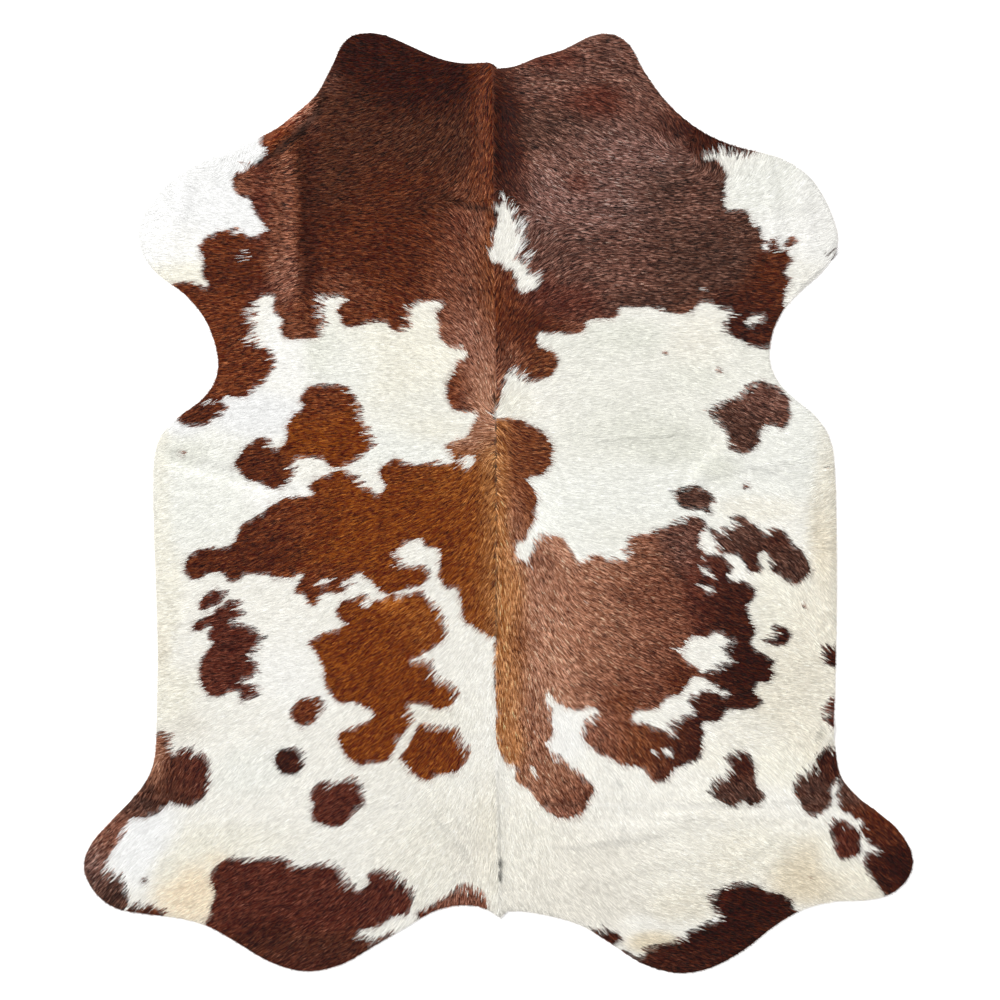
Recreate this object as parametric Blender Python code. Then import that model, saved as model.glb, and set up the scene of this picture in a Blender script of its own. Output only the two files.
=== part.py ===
"""A whole hair-on cowhide rug, lying spread out: one trimmed hide with the soft creases that it keeps.

Metres, +Z up. The hide lies on the plane z = 0, its neck towards +Y and its backbone along Y, with the
middle of its outline's box at the origin. Points along the edge and the creases were read off a picture
taken from straight above, in that picture's pixels, and the hide's real length gives their scale.
"""

from collections import namedtuple
from math import ceil, cos, hypot, pi, sin, sqrt

import bmesh
import bpy
from mathutils import Vector
from mathutils.geometry import delaunay_2d_cdt

# Driving dimensions.
HIDE_LENGTH = 2.26  # neck corner to hind edge, along Y
LEATHER = 0.0025  # the tanned skin alone
COAT = 0.0045  # the short hair, lying down on it
EDGE_SLOPE = 0.010  # how far in from the rim the coat reaches its full depth
UNDERCUT = 0.002  # the skin's lower edge lies this far inside the rim

# The picture's pixels between the same two edges.
LENGTH_IN_PIXELS = 940.4
PIXEL = HIDE_LENGTH / LENGTH_IN_PIXELS

# Mesh spacing.
EDGE_STEP = 0.021
FOLD_STEP = 0.042
GRID_STEP = 0.074
FOLD_LANES = (-1.0, -0.5, 0.0, 0.5, 1.0)  # rows of points along a fold, in shares of its half width
FOLD_MARGIN = 1.35  # the grid keeps this many half widths away from a fold's middle
LEAST_GAP = 0.011  # between any two points inside the rim
MOST_MITRE = 1.4

# The edge, clockwise from above, as (x, y) in pixels with y down. Both sides end in the two sharp corners:
# the notch at the neck and the point at the root of the tail.
RIGHT_EDGE = {
    "neck": [(497, 68.6), (515, 66), (536, 57.5), (563, 49.5), (590, 36.2)],
    "neck corner": [(604.5, 33.4), (618, 36), (631, 46.5), (640, 64)],
    "shoulder": [(650, 80), (662, 96.5), (679, 114), (705, 133), (735, 146)],
    "foreleg": [(763.5, 153), (785, 160), (808.5, 176), (824, 197.5), (834, 221), (838, 238)],
    "elbow": [(834.5, 254), (822, 272), (801.5, 290.5), (784.5, 308.5)],
    "armpit": [(773.5, 330), (769.5, 350), (771, 367), (780, 384), (796, 400)],
    "flank": [(812, 412.5), (824.5, 428), (832, 446), (835, 475), (836.5, 540), (836.5, 620)],
    "hip": [(835, 690), (834, 735), (837, 760), (841, 776.5), (856.5, 795.5), (882, 815)],
    "hock": [(900, 832), (911, 850), (913.3, 862), (909, 877), (896, 891), (875, 899)],
    "thigh": [(831, 902), (803, 909.5), (775.5, 925.5), (742.5, 951), (709, 968.5), (677, 973.2)],
    "rump": [(641, 963), (610, 943), (580, 925), (552, 916.5), (519, 911), (507.5, 911.5), (500, 917.5)],
}
LEFT_EDGE = {
    "rump": [(500, 917.5), (492, 912), (478, 906.5), (460, 905.5), (436, 910.5), (405, 928)],
    "thigh": [(375, 945.5), (345, 963), (320, 970.5), (300, 971), (269, 961.5), (236, 942)],
    "hock": [(206, 925.5), (178, 918), (141, 913.5), (115, 908), (96, 894), (85.5, 876), (84, 861)],
    "hip": [(93, 841), (112, 820), (134, 796.5), (147.5, 779), (154.5, 757), (156.5, 720)],
    "flank": [(157.5, 650), (156, 590), (154, 540), (153, 490), (154.5, 455), (161, 435), (180, 416)],
    "armpit": [(200, 401), (213, 385), (218, 367), (215, 345), (204, 318), (184, 294)],
    "elbow": [(160, 276.5), (145.5, 260.5), (138.5, 241)],
    "foreleg": [(141, 219), (153, 200), (170, 181.5), (196.5, 164.5), (240, 145), (273, 130.5)],
    "shoulder": [(300, 110), (316, 95), (326, 77.5), (335, 59)],
    "neck corner": [(341, 46), (352, 35.5), (369, 32.8), (385, 35)],
    "neck": [(421, 50.5), (440, 58.5), (463, 63), (489.5, 62.7), (494.5, 65), (497, 68.6)],
}

# The creases and waves that stand up from the floor. start and end are in pixels, half_width and height in
# metres. Each one tapers away to nothing at both ends.
Fold = namedtuple("Fold", "name start end half_width height")
FOLDS = [
    Fold("backbone at the neck", (490, 44), (493, 240), 0.034, 0.010),
    Fold("backbone at the withers", (493, 180), (498, 470), 0.030, 0.007),
    Fold("backbone at the loin", (498, 400), (500, 720), 0.030, 0.006),
    Fold("backbone at the tail", (495, 650), (496, 940), 0.032, 0.008),
    Fold("left shoulder fold", (293, 126), (299, 346), 0.040, 0.011),
    Fold("left neck roll", (250, 165), (324, 96), 0.024, 0.009),
    Fold("left knee wave", (172, 250), (188, 166), 0.034, 0.004),
    Fold("left belly wave", (368, 300), (384, 372), 0.030, 0.004),
    Fold("left flank bump", (160, 588), (174, 656), 0.028, 0.004),
    Fold("left packing crease", (124, 788), (180, 805), 0.018, 0.006),
    Fold("left thigh wave", (227, 812), (221, 876), 0.024, 0.005),
    Fold("right knee wave, inner", (764, 150), (777, 262), 0.030, 0.006),
    Fold("right knee wave, outer", (798, 162), (810, 276), 0.030, 0.005),
    Fold("right belly wave, inner", (686, 494), (716, 448), 0.026, 0.004),
    Fold("right belly wave, outer", (738, 474), (812, 458), 0.026, 0.004),
    Fold("right flank roll", (823, 420), (826, 664), 0.024, 0.005),
    Fold("right flank dart", (842, 712), (804, 776), 0.018, 0.007),
    Fold("right hip crease", (782, 797), (874, 792), 0.018, 0.006),
    Fold("right packing crease, upper", (520, 804), (790, 801), 0.016, 0.005),
    Fold("right packing crease, lower", (590, 824), (826, 818), 0.016, 0.004),
    Fold("right thigh wave, upper", (560, 848), (712, 812), 0.036, 0.006),
    Fold("right thigh wave, lower", (568, 884), (732, 842), 0.036, 0.005),
    Fold("right thigh ray, outer", (798, 822), (716, 868), 0.028, 0.006),
    Fold("right thigh ray, inner", (788, 828), (748, 894), 0.022, 0.005),
]

CHESTNUT_AND_IVORY = (0.42, 0.27, 0.18, 1.0)  # the two coat colours together, seen from afar
HAIR_ROUGHNESS = 0.55


def clear_scene():
    for obj in list(bpy.data.objects):
        bpy.data.objects.remove(obj, do_unlink=True)


def curve_through(points, step):
    """A smooth open curve through the points (a centripetal spline), sampled about every step."""
    points = [Vector(point) for point in points]
    before = 2 * points[0] - points[1]
    after = 2 * points[-1] - points[-2]
    padded = [before, *points, after]
    samples = []
    for a, b, c, d in zip(padded, padded[1:], padded[2:], padded[3:]):
        knots = [0.0]
        for start, end in ((a, b), (b, c), (c, d)):
            knots.append(knots[-1] + sqrt((end - start).length))
        count = max(1, round((c - b).length / step))
        for index in range(count):
            at = knots[1] + (knots[2] - knots[1]) * index / count
            low = mix(mix(a, b, knots[:2], at), mix(b, c, knots[1:3], at), knots[0:3:2], at)
            high = mix(mix(b, c, knots[1:3], at), mix(c, d, knots[2:], at), knots[1:4:2], at)
            samples.append(mix(low, high, knots[1:3], at))
    samples.append(points[-1])
    return samples


def mix(first, last, span, at):
    """The point on the line through first and last that at gives, where they stand at the span's ends."""
    return first + (last - first) * ((at - span[0]) / (span[1] - span[0]))


def edge_in_metres():
    """The closed rim, clockwise from above, with the middle of its box at the origin."""
    sides = []
    for side in (RIGHT_EDGE, LEFT_EDGE):
        landmarks = [point for stretch in side.values() for point in stretch]
        flipped = [(x * PIXEL, -y * PIXEL) for x, y in landmarks]
        sides.append(curve_through(flipped, EDGE_STEP))
    rim = sides[0][:-1] + sides[1][:-1]
    middle = Vector((
        (min(p.x for p in rim) + max(p.x for p in rim)) / 2,
        (min(p.y for p in rim) + max(p.y for p in rim)) / 2,
    ))
    return [point - middle for point in rim], middle


def moved_in(rim, distance):
    """The rim moved inwards, square to its own direction. It runs clockwise, so inwards is to the right."""
    moved = []
    for index, point in enumerate(rim):
        back = (point - rim[index - 1]).normalized()
        ahead = (rim[(index + 1) % len(rim)] - point).normalized()
        along = (back + ahead).normalized()
        inwards = Vector((along.y, -along.x))
        mitre = min(MOST_MITRE, 1 / along.dot(ahead))
        moved.append(point + inwards * distance * mitre)
    return moved


class Relief:
    """How high the underside of the hide stands above the floor."""

    def __init__(self, middle):
        self.folds = [self.placed(fold, middle) for fold in FOLDS]

    @staticmethod
    def placed(fold, middle):
        start = Vector((fold.start[0] * PIXEL, -fold.start[1] * PIXEL)) - middle
        end = Vector((fold.end[0] * PIXEL, -fold.end[1] * PIXEL)) - middle
        return fold._replace(start=start, end=end)

    def lift(self, point):
        total = 0.0
        for fold in self.folds:
            total += self.one_lift(fold, point) ** 2
        return sqrt(total)

    @staticmethod
    def one_lift(fold, point):
        along = fold.end - fold.start
        share = (point - fold.start).dot(along) / along.length_squared
        if not 0 < share < 1:
            return 0.0
        aside = (point - fold.start - along * share).length / fold.half_width
        if aside >= 1:
            return 0.0
        return fold.height * sqrt(sin(pi * share)) * cos(pi * aside / 2) ** 2

    def lane_points(self):
        """Rows of points along each fold, close enough together to hold its rounded section."""
        points = []
        for fold in self.folds:
            along = fold.end - fold.start
            across = Vector((-along.y, along.x)).normalized()
            count = ceil(along.length / FOLD_STEP)
            for lane in FOLD_LANES:
                for index in range(count + 1):
                    points.append(fold.start + along * (index / count) + across * lane * fold.half_width)
        return points

    def beside_a_fold(self, point):
        for fold in self.folds:
            along = fold.end - fold.start
            share = min(1.0, max(0.0, (point - fold.start).dot(along) / along.length_squared))
            if (point - fold.start - along * share).length < fold.half_width * FOLD_MARGIN:
                return True
        return False


def grid_points(rim):
    """A triangular grid over the hide's box."""
    width = max(point.x for point in rim)
    length = max(point.y for point in rim)
    row_step = GRID_STEP * sqrt(3) / 2
    points = []
    for row in range(int(2 * length / row_step) + 1):
        shift = GRID_STEP / 2 * (row % 2)
        for column in range(int(2 * width / GRID_STEP) + 1):
            points.append(Vector((-width + shift + column * GRID_STEP, -length + row * row_step)))
    return points


def inside(point, rim):
    """Whether the point lies within the rim, by counting the edges to its right."""
    crossings = 0
    for a, b in zip(rim, rim[1:] + rim[:1]):
        if (a.y > point.y) != (b.y > point.y):
            if point.x < a.x + (point.y - a.y) * (b.x - a.x) / (b.y - a.y):
                crossings += 1
    return crossings % 2 == 1


def distance_to(point, rim):
    """The distance to the rim's nearest edge."""
    nearest = GRID_STEP
    for a, b in zip(rim, rim[1:] + rim[:1]):
        if hypot(a.x - point.x, a.y - point.y) > nearest + 2 * EDGE_STEP:
            continue
        along = b - a
        share = min(1.0, max(0.0, (point - a).dot(along) / along.length_squared))
        nearest = min(nearest, (point - a - along * share).length)
    return nearest


def inner_points(rim, relief):
    """The points between the rims: the folds' own rows first, then the grid where no fold is near."""
    kept = []
    for point in relief.lane_points():
        if all((point - other).length > LEAST_GAP for other in kept):
            kept.append(point)
    kept += [point for point in grid_points(rim) if not relief.beside_a_fold(point)]
    return [point for point in kept if inside(point, rim) and distance_to(point, rim) > LEAST_GAP]


def hide_mesh():
    """The closed skin: a flat underside, a rounded rim and the top of the coat."""
    rim, middle = edge_in_metres()
    relief = Relief(middle)
    top_rim = moved_in(rim, EDGE_SLOPE)
    low_rim = moved_in(rim, UNDERCUT)
    inner = inner_points(top_rim, relief)
    count = len(rim)
    flat, _, faces, *_ = delaunay_2d_cdt(
        top_rim + inner, [], [list(range(count))], 1, 1e-6
    )

    built = bmesh.new()
    top = raised(built, flat, relief, LEATHER + COAT)
    widest = raised(built, rim, relief, LEATHER)
    low = raised(built, low_rim + flat[count:], relief, 0.0)
    for face in faces:
        built.faces.new([top[index] for index in face])
        built.faces.new([low[index] for index in reversed(face)])
    for index in range(count):
        after = (index + 1) % count
        for upper, lower in ((top, widest), (widest, low)):
            built.faces.new((upper[index], upper[after], lower[after], lower[index]))
    bmesh.ops.recalc_face_normals(built, faces=built.faces)
    bmesh.ops.triangulate(built, faces=built.faces)
    mesh = bpy.data.meshes.new("hide")
    built.to_mesh(mesh)
    built.free()
    return mesh


def raised(built, points, relief, height):
    """A vertex for each point, this height above the underside of the skin."""
    return [built.verts.new((point.x, point.y, relief.lift(point) + height)) for point in points]


def hide_material():
    material = bpy.data.materials.new("hide")
    material.use_nodes = True
    shader = material.node_tree.nodes["Principled BSDF"]
    shader.inputs["Base Color"].default_value = CHESTNUT_AND_IVORY
    shader.inputs["Roughness"].default_value = HAIR_ROUGHNESS
    shader.inputs["Metallic"].default_value = 0.0
    return material


def make_hide():
    mesh = hide_mesh()
    mesh.materials.append(hide_material())
    mesh.shade_smooth()
    mesh.set_sharp_from_angle(angle=pi / 4)
    hide = bpy.data.objects.new("hide", mesh)
    bpy.context.collection.objects.link(hide)


clear_scene()
make_hide()
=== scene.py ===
"""How the whole hair-on cowhide rug looks: its tanned skin, lying in its folds, and its combed short coat.

Metres, +Z up, the neck towards +Y. The edge, the folds, the markings and the lie of the hair are placed in
the pixels of a picture taken from straight above, x to the right and y down, as in the part's source.
"""

from collections import namedtuple
from math import hypot, pi, radians, sqrt

import bpy
import numpy as np
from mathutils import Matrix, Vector
from mathutils.geometry import delaunay_2d_cdt


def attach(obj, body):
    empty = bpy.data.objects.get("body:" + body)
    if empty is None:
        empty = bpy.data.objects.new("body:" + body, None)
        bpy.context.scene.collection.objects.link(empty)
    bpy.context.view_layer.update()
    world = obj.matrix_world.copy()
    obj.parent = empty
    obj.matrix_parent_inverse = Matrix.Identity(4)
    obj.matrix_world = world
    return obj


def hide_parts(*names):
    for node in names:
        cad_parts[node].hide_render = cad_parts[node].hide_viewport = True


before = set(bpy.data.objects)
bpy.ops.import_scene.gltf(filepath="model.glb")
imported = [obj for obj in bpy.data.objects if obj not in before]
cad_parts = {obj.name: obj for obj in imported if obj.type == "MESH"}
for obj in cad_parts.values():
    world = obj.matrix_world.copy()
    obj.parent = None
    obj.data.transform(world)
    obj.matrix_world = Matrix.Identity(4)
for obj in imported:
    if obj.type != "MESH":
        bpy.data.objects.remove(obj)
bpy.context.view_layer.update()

SEED = 11

# Driving dimensions, as in the part's source.
HIDE_LENGTH = 2.26
LEATHER = 0.0025
COAT = 0.0045
EDGE_SLOPE = 0.010
LENGTH_IN_PIXELS = 940.4
PIXEL = HIDE_LENGTH / LENGTH_IN_PIXELS
EDGE_STEP = 0.021
MOST_MITRE = 1.4

# The skin that this scene adds.
SKIN_INSET = 0.0010  # its rim lies this far inside the hide's, under the overhanging hair
SKIN_GRID = 0.018  # how far apart its inner points are
LEAST_GAP = 0.008  # none of them is nearer to the rim
UNDERCOAT_SHADE = 0.8  # the undercoat's share of the light of the hair above it

# The coat. A tuft is a row of hairs side by side that share their roots.
TUFTS = 313500
STRIPS = ("left_flank", "left_side", "back", "right_side", "right_flank")
HAIRS = 3
HAIR_WIDTH = 0.00056
HAIR_LENGTH = 0.0165
TUFT_WIDTHS = (0.75, 1.25)  # the range of tufts, in shares of HAIR_WIDTH
TUFT_LENGTHS = (0.7, 1.2)  # and of HAIR_LENGTH
LEAST_LENGTH = 0.004  # no tuft at the rim is cut shorter
HAIR_LENGTHS = (0.78, 1.0)  # the range of single hairs, in shares of their tuft's length
HAIR_HEIGHTS = (0.85, 1.0)  # and of its height
HAIR_GAPS = (0.3, 1.1)  # how far apart a tuft's tips are, in shares of its hairs' width
UNEVEN_ROOTS = 0.0015  # how far a tuft's roots lie before or behind its middle
SUNK = 0.0004  # roots start this far under the skin's surface
CORRUGATION = 0.00010  # every second root stands up by this much
LEAST_SLOPE = 0.15  # the share of the coat's depth that is left at the rim
GUARD_SHARE = 0.35  # the share of tufts that lie on top of the others
GUARD_STANDING = (0.72, 1.0)  # the heights of their tips, in shares of the coat's depth
UNDER_STANDING = (0.30, 0.60)  # and of the others' tips
OVERHANG = 0.0025  # the furthest that a hair reaches past the rim
OVERHANG_LUCK = (0.1, 1.0)  # the square of a number from this range is each tuft's share of it
NEAR_RIM = 1.3 * HAIR_LENGTH  # tufts further in than this don't reach the rim
LOCK = 0.0042  # tufts this near to each other lean together
GATHER = 0.15  # how far their tips move to the middle of the lock
CELLS = 256  # tufts along each side of a piece's colour map
TUFT_CELL = ((0.16, 0.16), (0.84, 0.16), (0.5, 0.86))  # a hair's corners within its tuft's cell

# How far the hair leans from its combed lie.
LEAN = (radians(3), radians(4))  # the most of two soft noises
LEAN_OVER = (0.014, 0.040)  # and the lengths over which they change
LEFT_LEAN = 0.5  # the left side's share of these two, because it is combed straighter
LOCK_LEAN = radians(3)  # the most of a whole lock
TUFT_LEAN = radians(2.5)  # the spread of single tufts
HAIR_LEAN = radians(1.5)  # and of the hairs in a tuft

# The strands, which are the long hairs across the borders.
STRAND_LEAN = radians(5)  # the spread of their ways
STRAND_LENGTHS = (0.7, 1.1)  # the range of their lengths, in shares of the length in the table

# How the markings' borders look. Along the hair, ivory lies over chestnut in long points, and where chestnut
# ends the border is nearly clean.
OUTLINE_STEP = 3.0  # how finely the outlines are drawn, in pixels
SHOWN_AT = 0.66  # the share of its length at which a hair shows its colour in the right place
FRINGE_LOOK = 10.0  # how far up and down the hair a border is looked for, in pixels
FRINGE = 14.0  # how long the points are where ivory lies over chestnut, in pixels
CLEAN = 2.5  # and where chestnut ends
POINT = (0.0030, 0.020)  # the width and half length of the noise that shapes the points
POINT_LUCK = (0.5, 0.3)  # the middle and the spread of how far they reach
GATHER_SHOWN = 0.5  # the share of its gathering at which a hair shows its colour

# How tufts stray from their tone. A stray of 1 is STRAY_GAIN times the tone's streak.
TUFT_STRAY = 3.0  # the half range of single tufts' own stray
STROKE_STRAY = 0.62  # the spread of the short strokes that tufts form together
STROKE = (0.0016, 0.005)  # their width and half length
CLUMP_STRAY = 0.10  # the spread of the broader clumps
CLUMP = (0.0060, 0.020)  # their width and half length
IVORY_STROKES = 0.35  # the share of both that ivory shows
STRAY_GAIN = 1.9  # a tone's streak is raised by this, because tufts that overlap even it out
DARKEST = 0.12  # the least share of its tone that a tuft keeps

# How tones become colours, and how tones and ways blend from place to place.
GLOSS = 0.006  # the light that the hair's gloss adds, which its colour makes up for
MATT = 0.965  # and the share of light that it leaves to the colour
USUAL_WEIGHT = 0.03  # how much the usual tone counts where no other tone lies
LIE_SPREAD = 60.0  # how softly one way of the hair turns into the next, in square pixels

# The noise.
NOISE_CELLS = 1024  # along each side, before it repeats
STREAK_STEPS = 9  # how many samples along the hair make a streak

# The studio.
PICTURE = 1000  # the width and height of the picture, in pixels
CAMERA_HEIGHT = 8.0
FLOOR_HALF = 30.0
FLOOR_GAP = 0.0005  # how far the floor is under the hide

# The edge, clockwise from above, in pixels.
RIGHT_EDGE = {
    "neck": [(497, 68.6), (515, 66), (536, 57.5), (563, 49.5), (590, 36.2)],
    "neck corner": [(604.5, 33.4), (618, 36), (631, 46.5), (640, 64)],
    "shoulder": [(650, 80), (662, 96.5), (679, 114), (705, 133), (735, 146)],
    "foreleg": [(763.5, 153), (785, 160), (808.5, 176), (824, 197.5), (834, 221), (838, 238)],
    "elbow": [(834.5, 254), (822, 272), (801.5, 290.5), (784.5, 308.5)],
    "armpit": [(773.5, 330), (769.5, 350), (771, 367), (780, 384), (796, 400)],
    "flank": [(812, 412.5), (824.5, 428), (832, 446), (835, 475), (836.5, 540), (836.5, 620)],
    "hip": [(835, 690), (834, 735), (837, 760), (841, 776.5), (856.5, 795.5), (882, 815)],
    "hock": [(900, 832), (911, 850), (913.3, 862), (909, 877), (896, 891), (875, 899)],
    "thigh": [(831, 902), (803, 909.5), (775.5, 925.5), (742.5, 951), (709, 968.5), (677, 973.2)],
    "rump": [(641, 963), (610, 943), (580, 925), (552, 916.5), (519, 911), (507.5, 911.5), (500, 917.5)],
}
LEFT_EDGE = {
    "rump": [(500, 917.5), (492, 912), (478, 906.5), (460, 905.5), (436, 910.5), (405, 928)],
    "thigh": [(375, 945.5), (345, 963), (320, 970.5), (300, 971), (269, 961.5), (236, 942)],
    "hock": [(206, 925.5), (178, 918), (141, 913.5), (115, 908), (96, 894), (85.5, 876), (84, 861)],
    "hip": [(93, 841), (112, 820), (134, 796.5), (147.5, 779), (154.5, 757), (156.5, 720)],
    "flank": [(157.5, 650), (156, 590), (154, 540), (153, 490), (154.5, 455), (161, 435), (180, 416)],
    "armpit": [(200, 401), (213, 385), (218, 367), (215, 345), (204, 318), (184, 294)],
    "elbow": [(160, 276.5), (145.5, 260.5), (138.5, 241)],
    "foreleg": [(141, 219), (153, 200), (170, 181.5), (196.5, 164.5), (240, 145), (273, 130.5)],
    "shoulder": [(300, 110), (316, 95), (326, 77.5), (335, 59)],
    "neck corner": [(341, 46), (352, 35.5), (369, 32.8), (385, 35)],
    "neck": [(421, 50.5), (440, 58.5), (463, 63), (489.5, 62.7), (494.5, 65), (497, 68.6)],
}

# The creases and waves that stand up from the floor. start and end are in pixels, half_width and height in
# metres. Each one tapers away to nothing at both ends.
Fold = namedtuple("Fold", "name start end half_width height")
FOLDS = [
    Fold("backbone at the neck", (490, 44), (493, 240), 0.034, 0.010),
    Fold("backbone at the withers", (493, 180), (498, 470), 0.030, 0.007),
    Fold("backbone at the loin", (498, 400), (500, 720), 0.030, 0.006),
    Fold("backbone at the tail", (495, 650), (496, 940), 0.032, 0.008),
    Fold("left shoulder fold", (293, 126), (299, 346), 0.040, 0.011),
    Fold("left neck roll", (250, 165), (324, 96), 0.024, 0.009),
    Fold("left knee wave", (172, 250), (188, 166), 0.034, 0.004),
    Fold("left belly wave", (368, 300), (384, 372), 0.030, 0.004),
    Fold("left flank bump", (160, 588), (174, 656), 0.028, 0.004),
    Fold("left packing crease", (124, 788), (180, 805), 0.018, 0.006),
    Fold("left thigh wave", (227, 812), (221, 876), 0.024, 0.005),
    Fold("right knee wave, inner", (764, 150), (777, 262), 0.030, 0.006),
    Fold("right knee wave, outer", (798, 162), (810, 276), 0.030, 0.005),
    Fold("right belly wave, inner", (686, 494), (716, 448), 0.026, 0.004),
    Fold("right belly wave, outer", (738, 474), (812, 458), 0.026, 0.004),
    Fold("right flank roll", (823, 420), (826, 664), 0.024, 0.005),
    Fold("right flank dart", (842, 712), (804, 776), 0.018, 0.007),
    Fold("right hip crease", (782, 797), (874, 792), 0.018, 0.006),
    Fold("right packing crease, upper", (520, 804), (790, 801), 0.016, 0.005),
    Fold("right packing crease, lower", (590, 824), (826, 818), 0.016, 0.004),
    Fold("right thigh wave, upper", (560, 848), (712, 812), 0.036, 0.006),
    Fold("right thigh wave, lower", (568, 884), (732, 842), 0.036, 0.005),
    Fold("right thigh ray, outer", (798, 822), (716, 868), 0.028, 0.006),
    Fold("right thigh ray, inner", (788, 828), (748, 894), 0.022, 0.005),
]

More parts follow.
